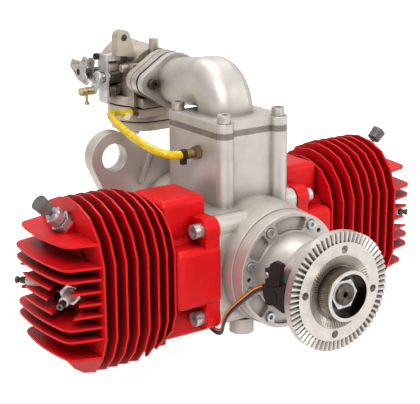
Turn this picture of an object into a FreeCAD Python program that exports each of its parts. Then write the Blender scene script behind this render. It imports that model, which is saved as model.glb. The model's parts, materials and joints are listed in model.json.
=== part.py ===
import FreeCAD, Part
import math
import os
import re

Vector = FreeCAD.Vector
doc = FreeCAD.newDocument("flat_twin_engine")
sheet = doc.addObject("Spreadsheet::Sheet", "Dim")

# Driving dimensions, millimetres and degrees.
# Frame: origin at the centre of the propeller face, crank axis along Y,
# +Y to the rear, +X to the right cylinder seen from behind, +Z up.
SIZES = {
    # crank train
    "cylinder_bore_radius": 33.0,
    "crank_throw": 20.0,
    "top_clearance": 2.0,
    "piston_clearance": 0.08,
    "compression_height": 30.0,
    "skirt_length": 24.0,
    "piston_wall": 2.34,
    "crown_thickness": 11.0,
    "ring_height": 1.5,
    "ring_depth": 2.0,
    "shaft_radius": 12.5,
    "thread_radius": 9.5,
    "crankpin_radius": 9.0,
    "pin_running_gap": 0.05,
    "web_radius": 34.0,
    "centre_web": 12.8,
    "end_web": 13.0,
    "rod_width": 14.0,
    "rod_eye_wall": 5.0,
    "gudgeon_radius": 5.0,
    "gudgeon_length": 29.0,
    "small_end_wall": 3.5,
    "small_end_width": 15.0,
    "rod_side_gap": 4.3,
    "bearing_radius": 26.0,
    "bearing_width": 15.0,
    "race_wall": 4.2,
    "ball_gap": 0.05,
    # propeller hub
    "hub_radius": 52.0,
    "hub_thickness": 8.2,
    "hub_teeth": 64.0,
    "tooth_inner_radius": 43.0,
    "tooth_depth": 2.4,
    "spigot_radius": 22.0,
    "spigot_bore": 19.0,
    "spigot_length": 12.4,
    "serration_outer": 31.0,
    "serration_depth": 3.0,
    "prop_hole_radius": 3.4,
    "prop_hole_circle": 36.8,
    "prop_hole_turn": 83.5,
    "drum_radius": 38.5,
    "drum_end": 32.0,
    "running_gap": 0.05,
    "drum_wall": 5.0,
    "drum_floor": 13.0,
    "hub_boss_radius": 19.0,
    "magnet_radius": 2.5,
    "magnet_length": 3.0,
    "nut_across": 24.0,
    "nut_thickness": 9.0,
    "nut_seat": 3.0,
    # crankcase
    "tower_centre": 162.0,
    "cylinder_offset": 17.7,
    "cover_radius": 52.0,
    "cover_face": 67.0,
    "cover_thickness": 14.0,
    "cover_screw_circle": 44.3,
    "cover_screw_radius": 2.5,
    "cover_rim": 3.4,
    "cover_pocket_depth": 4.0,
    "nose_foot_radius": 35.0,
    "nose_tip_radius": 30.0,
    "nose_tip": 37.0,
    "case_front_radius": 53.0,
    "case_radius": 58.0,
    "case_rear_radius": 61.0,
    "chamber_radius": 38.0,
    "pad_reach": 56.0,
    "pad_half": 50.0,
    "spigot_hole_radius": 37.2,
    "tower_half_x": 38.4,
    "tower_half_y": 37.6,
    "tower_top": 111.5,
    "tower_wall": 5.0,
    "tower_floor": 40.0,
    "post_x": 29.5,
    "post_y": 36.9,
    "post_radius": 8.5,
    "post_screw_radius": 3.7,
    "intake_half": 22.0,
    "base_screw_radius": 4.0,
    "base_screw_y": 41.0,
    "base_screw_z": 40.0,
    "base_lobe_radius": 11.0,
    # rear mount
    "mount_face": 232.0,
    "mount_thickness": 14.0,
    "mount_hole_x": 79.0,
    "mount_hole_z": 80.0,
    "mount_hole_radius": 13.0,
    "mount_lobe_radius": 24.0,
    "mount_disc_radius": 61.0,
    "mount_screw_circle": 48.0,
    "mount_screw_radius": 4.0,
    "rib_x": 46.0,
    "rib_z": 68.0,
    "rib_length": 35.0,
    "rib_width": 5.0,
    "rib_height": 3.0,
    "rib_tilt": 23.6,
    # cylinders
    "gasket_thickness": 0.5,
    "base_flange": 13.5,
    "bulge_end": 100.0,
    "bulge_half": 27.0,
    "bulge_top": 66.0,
    "bulge_side": 52.0,
    "bulge_round": 7.0,
    "barrel_radius": 41.0,
    "deck": 144.0,
    "dome_height": 12.0,
    "head_end": 176.5,
    "fin_first": 101.0,
    "fin_pitch": 10.4,
    "fin_count": 8.0,
    "fin_thickness": 1.9,
    "fin_half_width": 56.7,
    "fin_half_side": 32.0,
    "fin_shoulder_y": 35.0,
    "fin_shoulder_z": 67.5,
    "fin_top": 77.0,
    "head_fin_pitch": 10.3,
    "head_fin_outer": 49.0,
    "head_fin_apex": 208.5,
    "head_fin_half": 54.0,
    "head_fin_corner": 11.0,
    "head_fin_step": 4.0,
    "head_fin_thickness": 2.1,
    "plug_cross": 166.3,
    "plug_turn": 45.0,
    "plug_seat": 21.0,
    "plug_reach": 12.7,
    "plug_thread_radius": 5.0,
    "plug_hex_across": 16.0,
    "plug_hex_length": 8.0,
    "insulator_radius": 4.6,
    "insulator_length": 20.0,
    "terminal_radius": 3.2,
    "terminal_length": 9.0,
    "plug_well_radius": 15.0,
    "valve_seat_x": 179.0,
    "valve_seat_z": 55.0,
    "valve_turn": 45.0,
    "valve_flange_across": 17.0,
    "valve_flange_length": 6.0,
    "valve_groove": 1.2,
    "valve_hex_across": 14.0,
    "valve_hex_length": 7.0,
    "valve_body_radius": 5.5,
    "valve_body_length": 17.0,
    "valve_thread_radius": 5.0,
    "valve_thread_length": 12.0,
    "valve_stem_radius": 2.5,
    "valve_travel": 3.0,
    "knob_radius": 7.1,
    "knob_length": 12.0,
    "exhaust_centre": 112.0,
    "exhaust_half_width": 17.0,
    "exhaust_half_height": 8.0,
    "exhaust_face": 62.0,
    "exhaust_stud_spacing": 46.0,
    "exhaust_stud_radius": 2.5,
    # intake
    "reed_flange": 5.5,
    "reed_half_x": 19.0,
    "reed_half_y": 20.0,
    "reed_drop": 48.0,
    "elbow_plate": 8.0,
    "elbow_half_x": 22.5,
    "elbow_half_y": 23.0,
    "elbow_inner_bend": 1.5,
    "elbow_bend_y": 190.0,
    "elbow_wall": 3.5,
    "flange_face": 246.0,
    "flange_thickness": 7.0,
    "flange_height": 141.5,
    "flange_screw_x": 28.5,
    "flange_end_radius": 11.5,
    "flange_middle_radius": 27.0,
    "carb_screw_radius": 3.0,
    "throat_radius": 15.0,
    "carb_bore_radius": 13.6,
    "elbow_end_radius": 22.0,
    "black_gasket": 3.0,
    "spacer_thickness": 9.0,
    "thin_gasket": 1.0,
    "carb_flange": 8.0,
    "carb_half_width": 36.0,
    "carb_rear": 322.0,
    "carb_horn_end": 347.0,
    "carb_barrel_radius": 21.0,
    "carb_shell_radius": 27.0,
    "carb_horn_radius": 30.0,
    "carb_depth": 28.0,
    "pump_centre": 308.0,
    "pump_half_y": 33.0,
    "lid_inset": 3.0,
    "diaphragm": 1.5,
    "pump_height": 14.0,
    "lid_height": 9.0,
    "throttle_y": 305.0,
    "choke_y": 332.0,
    "control_shaft_radius": 4.0,
    "bracket_reach": 11.0,
    "throttle_lever_reach": 19.0,
    "choke_lever_reach": 24.0,
    "shaft_gap": 0.05,
    "butterfly_thickness": 1.5,
    "butterfly_gap": 0.5,
    # pulse line and sensor
    "hose_radius": 3.8,
    "hose_bore": 2.0,
    "barb_bore": 1.0,
    "fitting_y": 152.6,
    "fitting_z": 95.0,
    "barb_y": 277.0,
    "barb_x": 28.0,
    "barb_drop": 4.8,
    "sensor_gap": 2.5,
    "sensor_screw_radius": 1.5,
    "lead_radius": 2.8,
    "clip_wall": 1.4,
    "lead_entry_gap": 0.1,
    "clip_inset": 5.9,
}

for row, (name, value) in enumerate(SIZES.items(), 1):
    sheet.set(f"A{row}", name.replace("_", " "))
    sheet.set(f"B{row}", str(value))
    sheet.setAlias(f"B{row}", name)
doc.recompute()


class Reader:
    """The sheet's present value of a named size."""

    def __getattr__(self, name):
        return float(sheet.get(name))


d = Reader()
NODES = []
TURNS = {
    "+Z": FreeCAD.Rotation(),
    "-Z": FreeCAD.Rotation(Vector(1, 0, 0), 180),
    "+X": FreeCAD.Rotation(Vector(0, 1, 0), 90),
    "-X": FreeCAD.Rotation(Vector(0, 1, 0), -90),
    "+Y": FreeCAD.Rotation(Vector(1, 0, 0), -90),
    "-Y": FreeCAD.Rotation(Vector(1, 0, 0), 90),
}
SIDES = {"left": -1, "right": 1}


def bound(words):
    """An expression in which each size name points at the sheet."""
    def point(match):
        return "Dim." + match.group(0) if match.group(0) in SIZES else match.group(0)
    return re.sub(r"[A-Za-z_]\w*", point, str(words))


def place(piece, at, turn):
    piece.Placement = FreeCAD.Placement(Vector(), turn)
    for letter, words in zip("xyz", at):
        piece.setExpression(f"Placement.Base.{letter}", bound(words))
    return piece


def cylinder(radius, length, at, axis="+Z"):
    """A round bar from the point at, along the axis."""
    piece = doc.addObject("Part::Cylinder", "Bar")
    piece.setExpression("Radius", bound(radius))
    piece.setExpression("Height", bound(length))
    turn = TURNS[axis] if isinstance(axis, str) else FreeCAD.Rotation(Vector(0, 0, 1), axis)
    return place(piece, at, turn)


def cone(start_radius, end_radius, length, at, axis="+Z"):
    piece = doc.addObject("Part::Cone", "Taper")
    piece.setExpression("Radius1", bound(start_radius))
    piece.setExpression("Radius2", bound(end_radius))
    piece.setExpression("Height", bound(length))
    return place(piece, at, TURNS[axis])


def box(low, high):
    """A block between two corners given as expressions."""
    piece = doc.addObject("Part::Box", "Block")
    for side, a, b in zip(("Length", "Width", "Height"), low, high):
        piece.setExpression(side, bound(f"({b}) - ({a})"))
    return place(piece, low, FreeCAD.Rotation())


def hexagon(across, length, at, axis="+Z"):
    """A hexagonal bar, across its flats."""
    piece = doc.addObject("Part::Prism", "Hex")
    piece.Polygon = 6
    piece.setExpression("Circumradius", bound(f"({across}) / sqrt(3)"))
    piece.setExpression("Height", bound(length))
    turn = TURNS[axis] if isinstance(axis, str) else FreeCAD.Rotation(Vector(0, 0, 1), axis)
    return place(piece, at, turn)


def fuse(*pieces):
    if len(pieces) == 1:
        return pieces[0]
    whole = doc.addObject("Part::MultiFuse", "Union")
    whole.Shapes = list(pieces)
    whole.Refine = True
    return whole


def cut(base, *tools):
    piece = doc.addObject("Part::Cut", "Difference")
    piece.Base = base
    piece.Tool = fuse(*tools)
    return piece


def group(*pieces):
    """Separate solids kept in one node."""
    whole = doc.addObject("Part::Compound", "Group")
    whole.Links = list(pieces)
    return whole


def formed(shape):
    """A shape worked out in code from the sheet's values."""
    piece = doc.addObject("Part::Feature", "Form")
    piece.Shape = shape
    return piece


def node(name, piece):
    piece.Label = name
    NODES.append(piece)
    return piece


def polygon(points, along):
    """A flat outline of straight edges, pushed along a vector."""
    ring = [Vector(*p) for p in points]
    face = Part.Face(Part.makePolygon(ring + ring[:1]))
    return face.extrude(Vector(*along))


def tube_path(points):
    """Straight runs joined by tangent arcs; prints the arcs' radii."""
    route = [Vector(*p) for p in points]
    edges, radii, start = [], [], route[0]
    for before, corner, after in zip(route, route[1:], route[2:]):
        into, out = (corner - before), (after - corner)
        half_turn = into.getAngle(out) / 2
        trim = 0.45 * min(into.Length, out.Length)
        radii.append(trim / math.tan(half_turn))
        a = corner - into.normalize() * trim
        b = corner + out.normalize() * trim
        middle = (a + b) * 0.5
        inward = (middle - corner).normalize()
        centre = corner + inward * (radii[-1] / math.cos(half_turn))
        top = centre - inward * radii[-1]
        edges += [Part.LineSegment(start, a).toShape(), Part.Arc(a, top, b).toShape()]
        start = b
    edges.append(Part.LineSegment(start, route[-1]).toShape())
    print("arc radii", [round(r, 1) for r in radii], "length", round(sum(e.Length for e in edges), 1))
    return Part.Wire(edges)


def tube(points, radius, bore=0.0):
    path = tube_path(points)
    start = Vector(*points[0])
    heading = Vector(*points[1]) - start
    solids = []
    for r in (radius, bore):
        if r:
            ring = Part.Wire(Part.makeCircle(r, start, heading))
            solids.append(path.makePipeShell([ring], True, True))
    section = math.pi * (radius ** 2 - bore ** 2)
    solid = solids[0].cut(solids[1]) if bore else solids[0]
    print("tube volume", round(solid.Volume, 1), "section by length", round(section * path.Length, 1))
    return solid


def ring_angles(count, first):
    return [first + 360.0 * i / count for i in range(int(count))]


def on_circle(radius, angle):
    """X and Z of a point at an angle from +X towards +Z, as expressions."""
    return f"({radius}) * cos({angle})", f"({radius}) * sin({angle})"


def cap_screw(radius, head_depth, length, at, axis):
    """A socket head cap screw: at is under its head, the axis points out of the head."""
    back = axis.replace("+", "!").replace("-", "+").replace("!", "-")
    sign = 1 if axis[0] == "+" else -1
    top = list(at)
    index = "XYZ".index(axis[1])
    top[index] = f"({at[index]}) + {sign} * ({head_depth})"
    shank = cylinder(radius, length, at, back)
    head = cylinder(f"1.62 * ({radius})", head_depth, at, axis)
    socket = hexagon(f"1.5 * ({radius})", f"0.5 * ({head_depth})", top, back)
    return cut(fuse(shank, head), socket)


def hub_teeth():
    """Radial V grooves round the rim of the propeller face."""
    cutters = []
    half = math.pi * d.hub_radius / d.hub_teeth * 0.72
    reach = d.hub_radius + 1 - d.tooth_inner_radius
    lip = 0.2
    groove = polygon(
        [(d.tooth_inner_radius, -lip, -half), (d.tooth_inner_radius, -lip, half),
         (d.tooth_inner_radius, d.tooth_depth, 0)], (reach, 0, 0))
    for angle in ring_angles(d.hub_teeth, 0):
        copy = groove.copy()
        copy.rotate(Vector(), Vector(0, 1, 0), angle)
        cutters.append(copy)
    return formed(Part.makeCompound(cutters))


def make_hub():
    flange = fuse(
        cylinder("hub_radius", "hub_thickness", (0, 0, 0), "+Y"),
        cylinder("drum_radius", "drum_end", (0, 0, 0), "+Y"),
        cylinder("spigot_radius", "spigot_length + 1", (0, 1, 0), "-Y"))
    hollow = cut(
        cylinder("drum_radius - drum_wall", "drum_end", (0, "drum_floor", 0), "+Y"),
        cylinder("hub_boss_radius", "drum_end", (0, "drum_floor", 0), "+Y"))
    holes = []
    for angle in ring_angles(4, 0):
        x, z = on_circle("prop_hole_circle", f"prop_hole_turn + {angle}")
        holes.append(cylinder("prop_hole_radius", "drum_end", (x, -1, z), "+Y"))
    magnets, pockets = [], []
    for name, angle in (("first", 62), ("second", 242)):
        direction = Vector(math.cos(math.radians(angle)), 0, math.sin(math.radians(angle)))
        x, z = on_circle("drum_radius - magnet_length", angle)
        spot = (x, "drum_end - 1.8 * magnet_radius", z)
        pockets.append(cylinder("magnet_radius", "magnet_length + 1", spot, direction))
        magnets.append(cylinder("magnet_radius", "magnet_length - 0.2", spot, direction))
    body = cut(
        flange,
        cylinder("spigot_bore", "spigot_length + nut_seat + 1", (0, "nut_seat", 0), "-Y"),
        cut(cone("serration_outer", "spigot_radius + 1", "serration_depth", (0, 0, 0), "+Y"),
            cylinder("spigot_radius", "serration_depth + 3", (0, -2, 0), "+Y")),
        cylinder("thread_radius + running_gap", "drum_end + 2", (0, -1, 0), "+Y"),
        cylinder("shaft_radius + running_gap", "drum_end", (0, "drum_floor", 0), "+Y"),
        hollow, hub_teeth(), *holes, *pockets)
    node("prop_hub", body)
    node("hub_magnets", group(*magnets))
    nut = cut(
        hexagon("nut_across", "nut_thickness", (0, "nut_seat", 0), "-Y"),
        cylinder("thread_radius + running_gap", "nut_thickness + 2", (0, "nut_seat + 1", 0), "-Y"))
    node("hub_nut", nut)


def make_crank():
    left_pin = "tower_centre - cylinder_offset"
    right_pin = "tower_centre + cylinder_offset"
    front_web_end = f"{left_pin} - (cylinder_offset - centre_web / 2)"
    rear_web_start = f"{right_pin} + (cylinder_offset - centre_web / 2)"
    nose = fuse(
        cylinder("shaft_radius", f"{front_web_end} - drum_floor - 1", (0, "drum_floor + 1", 0), "+Y"),
        cylinder("thread_radius", "drum_floor + nut_thickness + 2",
                 (0, "nut_seat - nut_thickness - 1.5", 0), "+Y"),
        cylinder("shaft_radius + 4", "end_web + 2", (0, f"{front_web_end} - end_web - 2", 0), "+Y"),
        cylinder("web_radius", "end_web", (0, f"{front_web_end} - end_web", 0), "+Y"))
    centre_hole = cylinder(2.5, 14, (0, "nut_seat - nut_thickness - 2.5", 0), "+Y")
    left_hole = cylinder("crankpin_radius", "end_web + 2",
                         ("-crank_throw", f"{front_web_end} - end_web - 1", 0), "+Y")
    node("crankshaft_front", cut(nose, centre_hole, left_hole))
    middle = cylinder("web_radius", "centre_web", (0, "tower_centre - centre_web / 2", 0), "+Y")
    holes = [cylinder("crankpin_radius", "centre_web + 2",
                      (f"{sign}crank_throw", "tower_centre - centre_web / 2 - 1", 0), "+Y")
             for sign in ("-", "")]
    lightening = [cylinder("crankpin_radius - 3", "centre_web + 2",
                           (0, "tower_centre - centre_web / 2 - 1", f"{sign}crank_throw"), "+Y")
                  for sign in ("-", "")]
    node("crankshaft_centre", cut(middle, *holes, *lightening))
    tail = fuse(
        cylinder("web_radius", "end_web", (0, rear_web_start, 0), "+Y"),
        cylinder("shaft_radius", f"mount_face - 3 - ({rear_web_start})", (0, rear_web_start, 0), "+Y"))
    right_hole = cylinder("crankpin_radius", "end_web + 2", ("crank_throw", f"{rear_web_start} - 1", 0), "+Y")
    node("crankshaft_rear", cut(tail, right_hole))
    half_span = "(cylinder_offset - centre_web / 2)"
    pins = []
    for sign, centre, low, high in (
            ("-", left_pin, "end_web", "centre_web"), ("", right_pin, "centre_web", "end_web")):
        pins.append(cylinder("crankpin_radius", f"2 * {half_span} + {low} / 2 + {high} / 2",
                             (f"{sign}crank_throw", f"{centre} - {half_span} - {low} / 2", 0), "+Y"))
    node("crankpins", group(*pins))


def make_bearings():
    """Three ball bearings: nose, front main and rear main."""
    outers, inners = [], []
    ball_circle = "(bearing_radius + shaft_radius) / 2"
    ball = "((bearing_radius - shaft_radius) / 2 - race_wall + 1)"
    for start in BEARING_STARTS:
        outer = cut(
            cylinder("bearing_radius", "bearing_width", (0, start, 0), "+Y"),
            cylinder("bearing_radius - race_wall", "bearing_width + 2", (0, f"{start} - 1", 0), "+Y"))
        inner = cut(
            cylinder("shaft_radius + race_wall", "bearing_width", (0, start, 0), "+Y"),
            cylinder("shaft_radius", "bearing_width + 2", (0, f"{start} - 1", 0), "+Y"))
        for ring, gap, store in ((outer, "ball_gap", outers), (inner, "0", inners)):
            groove = doc.addObject("Part::Torus", "Groove")
            groove.setExpression("Radius1", bound(ball_circle))
            groove.setExpression("Radius2", bound(f"{ball} + {gap}"))
            place(groove, (0, f"{start} + bearing_width / 2", 0), TURNS["+Y"])
            store.append(cut(ring, groove))
        for angle in ring_angles(9, 0):
            x, z = on_circle(ball_circle, angle)
            bead = doc.addObject("Part::Sphere", "Ball")
            bead.setExpression("Radius", bound(ball))
            inners.append(place(bead, (x, f"{start} + bearing_width / 2", z), FreeCAD.Rotation()))
    node("bearing_outer_rings", group(*outers))
    node("bearing_inner_rings", group(*inners))
    seals = []
    for start, length in (("nose_tip + 1", 6), ("mount_face - 9", 6)):
        seals.append(cut(
            cylinder("bearing_radius", length, (0, start, 0), "+Y"),
            cylinder("shaft_radius + 0.3", length + 2, (0, f"{start} - 1", 0), "+Y")))
    node("shaft_seals", group(*seals))


CHAMBER_END = "tower_centre + 2 * cylinder_offset - centre_web / 2 + end_web + 1"
BEARING_STARTS = ("nose_tip + 8", "cover_face + 30", CHAMBER_END)
# The gudgeon pin of a piston at its top stands this far from the crank axis.
PIN_REACH = "deck - top_clearance - compression_height"
# Place along the crank, height and head face of the sensor screw.
SENSOR_SCREWS = ((40.6, 12.4, -45.0),)


def rod_shape(sign, centre):
    """A forged rod: two eyes and a flat shank, big end on the crankpin."""
    big = sign * d.crank_throw
    small = sign * (d.deck - d.top_clearance - d.compression_height)
    half = d.rod_width / 2
    big_hole = d.crankpin_radius + d.pin_running_gap
    y_axis = Vector(0, 1, 0)
    big_eye = Part.makeCylinder(big_hole + d.rod_eye_wall, d.rod_width, Vector(big, centre - half, 0), y_axis)
    small_eye = Part.makeCylinder(d.gudgeon_radius + d.small_end_wall, d.small_end_width,
                                  Vector(small, centre - d.small_end_width / 2, 0), y_axis)
    shank_half = d.rod_width / 4
    root, tip = 0.72 * (big_hole + d.rod_eye_wall), 0.75 * (d.gudgeon_radius + d.small_end_wall)
    shank = polygon(
        [(big, centre - shank_half, -root), (small, centre - shank_half, -tip),
         (small, centre - shank_half, tip), (big, centre - shank_half, root)],
        (0, 2 * shank_half, 0))
    rod = big_eye.fuse(small_eye).fuse(shank)
    rod = rod.cut(Part.makeCylinder(big_hole, 4 * half, Vector(big, centre - 2 * half, 0), y_axis))
    hole = Part.makeCylinder(d.gudgeon_radius, 4 * half, Vector(small, centre - 2 * half, 0), y_axis)
    return rod.cut(hole).removeSplitter()


def make_rods_and_pistons():
    for side, sign in SIDES.items():
        centre = f"tower_centre + {sign} * cylinder_offset"
        number = d.tower_centre + sign * d.cylinder_offset
        axis = "+X" if sign > 0 else "-X"
        pin_at = f"{sign} * ({PIN_REACH})"
        node(f"con_rod_{side}", formed(rod_shape(sign, number)))
        node(f"gudgeon_pin_{side}", cylinder(
            "gudgeon_radius", "gudgeon_length", (pin_at, f"{centre} - gudgeon_length / 2", 0), "+Y"))
        skirt_start = f"{sign} * ({PIN_REACH} - skirt_length)"
        outer = "cylinder_bore_radius - piston_clearance"
        skin = cylinder(outer, "skirt_length + compression_height", (skirt_start, centre, 0), axis)
        hollow = cylinder(f"{outer} - piston_wall", "skirt_length + compression_height - crown_thickness + 1",
                          (f"{skirt_start} - {sign}", centre, 0), axis)
        inner = f"{outer} - ring_depth"
        grooves, rings = [], []
        for drop in (3.5, 7.5):
            at = f"{sign} * ({PIN_REACH} + compression_height - {drop})"
            back = "-X" if sign > 0 else "+X"
            grooves.append(cut(
                cylinder(f"{outer} + 2", "ring_height", (at, centre, 0), back),
                cylinder(inner, "ring_height + 2", (f"{at} + {sign}", centre, 0), back)))
            ring_at = f"{sign} * ({PIN_REACH} + compression_height - {drop} - 0.05)"
            rings.append(cut(
                cylinder("cylinder_bore_radius - 0.03", "ring_height - 0.1", (ring_at, centre, 0), back),
                cylinder(f"{inner} + 0.1", "ring_height + 2", (f"{at} + {sign}", centre, 0), back),
                box((f"{at} - 5", f"{centre} - 0.3", "0"),
                    (f"{at} + 5", f"{centre} + 0.3", "cylinder_bore_radius + 2"))))
        bosses = []
        for turn in (-1, 1):
            boss = cylinder("gudgeon_radius + 4", "cylinder_bore_radius",
                            (pin_at, f"{centre} + {turn} * (gudgeon_length / 2 + 3)", 0),
                            "+Y" if turn > 0 else "-Y")
            bosses.append(boss)
        shell = cut(skin, hollow)
        disc = cylinder(f"{outer} - 0.5", "skirt_length + compression_height - crown_thickness",
                        (skirt_start, centre, 0), axis)
        trimmed = doc.addObject("Part::MultiCommon", "Bosses")
        trimmed.Shapes = [fuse(*bosses), disc]
        pin_hole = cylinder("gudgeon_radius", "2 * cylinder_bore_radius + 4",
                            (pin_at, f"{centre} - cylinder_bore_radius - 2", 0), "+Y")
        node(f"piston_{side}", cut(fuse(shell, trimmed), pin_hole, *grooves))
        node(f"piston_rings_{side}", group(*rings))


def make_crankcase():
    cover_back = "cover_face + cover_thickness"
    tower_front = "tower_centre - tower_half_y"
    chamber_low = f"{cover_back} - 1"
    solids = [
        cone("case_front_radius", "case_radius", f"{tower_front} - {cover_back}", (0, cover_back, 0), "+Y"),
        cylinder("case_radius", "2 * tower_half_y", (0, tower_front, 0), "+Y"),
        cylinder("case_rear_radius", "mount_face - tower_centre - tower_half_y",
                 (0, "tower_centre + tower_half_y", 0), "+Y"),
        box(("-tower_half_x", tower_front, "0"),
            ("tower_half_x", "tower_centre + tower_half_y", "tower_top")),
    ]
    for sx in ("-", ""):
        for sy in ("-", "+"):
            solids.append(cylinder("post_radius", "tower_top - 30",
                                   (f"{sx}post_x", f"tower_centre {sy} post_y", 30), "+Z"))
    tools = []
    for side, sign in SIDES.items():
        centre = f"tower_centre + {sign} * cylinder_offset"
        axis = "+X" if sign > 0 else "-X"
        low = f"{centre} - pad_half"
        solids.append(fuse(
            box(("0" if sign > 0 else "-pad_reach", f"{low} + 12", "-pad_half"),
                ("pad_reach" if sign > 0 else "0", f"{centre} + pad_half - 12", "pad_half")),
            box(("0" if sign > 0 else "-pad_reach", low, "12 - pad_half"),
                ("pad_reach" if sign > 0 else "0", f"{centre} + pad_half", "pad_half - 12"))))
        for sy in ("-", "+"):
            for sz in ("-", ""):
                spot = (0, f"{centre} {sy} base_screw_y", f"{sz}base_screw_z")
                solids.append(cylinder("base_lobe_radius - 1", "pad_reach", spot, axis))
                hole = (f"{sign} * (pad_reach + 1)", spot[1], spot[2])
                tools.append(cylinder("base_screw_radius", 19, hole, "-X" if sign > 0 else "+X"))
        tools.append(cylinder("spigot_hole_radius", "pad_reach + 2", (0, centre, 0), axis))
        near, far = ("pad_reach", "pad_reach + 20") if sign > 0 else ("-pad_reach - 20", "-pad_reach")
        tools.append(box((near, f"{centre} - bulge_side - 0.4", "-pad_half - 3"),
                         (far, f"{centre} + bulge_side + 0.4", "pad_half + 3")))
    for x in (-20, 20):
        solids.append(cylinder(11, 14, (x, "tower_centre - 50", "6 - case_radius"), "-Z"))
        solids.append(cylinder(11, 14, (x, "tower_centre + 50", "6 - case_radius"), "-Z"))
    tools += [
        cylinder("chamber_radius", f"{CHAMBER_END} - ({chamber_low})", (0, chamber_low, 0), "+Y"),
        cylinder("bearing_radius", "mount_face", (0, BEARING_STARTS[2], 0), "+Y"),
        box(("-intake_half", "tower_centre - intake_half", "0"),
            ("intake_half", "tower_centre + intake_half", "tower_top + 1")),
        box(("tower_wall - tower_half_x", f"{tower_front} + tower_wall", "tower_floor + 21"),
            ("tower_half_x - tower_wall", "tower_centre + tower_half_y - tower_wall", "tower_top + 1")),
        cylinder(3.5, 20, ("-tower_half_x - 2", "fitting_y", "fitting_z"), "+X"),
    ]
    for sx in ("-", ""):
        for sy in ("-", "+"):
            tools.append(cylinder("post_screw_radius", 26, (f"{sx}post_x", f"tower_centre {sy} post_y", "tower_top - 25"), "+Z"))
    for angle in COVER_SCREWS:
        x, z = on_circle("cover_screw_circle", angle)
        tools.append(cylinder("cover_screw_radius", 14, (x, f"{cover_back} - 1", z), "+Y"))
    for angle in ring_angles(4, 45):
        x, z = on_circle("mount_screw_circle", angle)
        tools.append(cylinder("mount_screw_radius", 16, (x, "mount_face - 15", z), "+Y"))
    body = cut(fuse(*solids), *tools)
    node("crankcase", body)


COVER_SCREWS = (15, 60, 120, 165, 195, 240, 300, 345)
JACK_HOLES = (45, 180)
# Middle angle and half width of the pockets between the screws.
COVER_POCKETS = ((90, 21), (142.5, 14), (217.5, 14), (270, 21), (322.5, 14))


def make_front_cover():
    """The cover carries the front main bearing on a spigot in the case bore."""
    back = "cover_face + cover_thickness"
    spigot_end = f"{BEARING_STARTS[1]} + bearing_width + 1"
    solids = [
        cylinder("cover_radius", "cover_thickness", (0, "cover_face", 0), "+Y"),
        cone("nose_tip_radius", "nose_foot_radius", "cover_face - nose_tip", (0, "nose_tip", 0), "+Y"),
        cylinder("chamber_radius - 0.1", f"({spigot_end}) - cover_face - 1", (0, "cover_face + 1", 0), "+Y"),
    ]
    inner, outer = d.nose_foot_radius + 1.2, d.cover_radius - d.cover_rim
    depth, front = d.cover_pocket_depth, d.cover_face
    ring = Part.makeCylinder(outer, depth + 1, Vector(0, front - 1, 0), Vector(0, 1, 0))
    ring = ring.cut(Part.makeCylinder(inner, depth + 1, Vector(0, front - 1, 0), Vector(0, 1, 0)))
    sectors = []
    for middle, half in COVER_POCKETS:
        reach = d.cover_radius / math.cos(math.radians(half))
        arms = [(reach * math.cos(math.radians(middle + turn)), front - 1, reach * math.sin(math.radians(middle + turn)))
                for turn in (-half, half)]
        sectors.append(polygon([(0, front - 1, 0)] + arms, (0, depth + 1, 0)))
    pockets = ring.common(Part.makeCompound(sectors))
    pockets = pockets.makeFillet(d.cover_rim - 1, [edge for edge in pockets.Edges if edge.BoundBox.YLength > depth])
    tools = [
        formed(pockets),
        cylinder("bearing_radius", "bearing_width + 9", (0, "nose_tip - 1", 0), "+Y"),
        cylinder("shaft_radius + 7.5", "cover_face", (0, "nose_tip", 0), "+Y"),
        cylinder("bearing_radius", "bearing_width + 3", (0, BEARING_STARTS[1], 0), "+Y"),
    ]
    for angle in COVER_SCREWS:
        x, z = on_circle("cover_screw_circle", angle)
        tools.append(cylinder("cover_screw_radius + 0.2", "cover_thickness + 4", (x, "cover_face - 2", z), "+Y"))
        tools.append(cylinder("1.62 * cover_screw_radius + 0.4", "3.5", (x, "cover_face - 1", z), "+Y"))
    for angle in JACK_HOLES:
        x, z = on_circle("cover_screw_circle", angle)
        tools.append(cylinder(2.1, "cover_thickness + 4", (x, "cover_face - 2", z), "+Y"))
    for y, z, head in SENSOR_SCREWS:
        tools.append(cylinder("sensor_screw_radius", -head - 28, (head, y, z), "+X"))
    node("front_cover", cut(fuse(*solids), *tools))
    screws = []
    for angle in COVER_SCREWS:
        x, z = on_circle("cover_screw_circle", angle)
        screws.append(cap_screw("cover_screw_radius", 5, "cover_thickness + 9",
                                (x, "cover_face + 2.5", z), "-Y"))
    node("front_cover_screws", group(*screws))


def hull_of_circles(big, lobe, x, z, start, length):
    """A plate tangent to a centre disc and to one lobe out along x, z."""
    reach = math.hypot(x, z)
    along, lean = math.atan2(z, x), math.acos((big - lobe) / reach)
    def corner(cx, cz, r, side):
        angle = along + side * lean
        return (cx + r * math.cos(angle), start, cz + r * math.sin(angle))
    arm = polygon([corner(0, 0, big, -1), corner(x, z, lobe, -1), corner(x, z, lobe, 1), corner(0, 0, big, 1)],
                  (0, length, 0))
    tip = Part.makeCylinder(lobe, length, Vector(x, start, z), Vector(0, 1, 0))
    return arm.fuse(tip)


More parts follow.
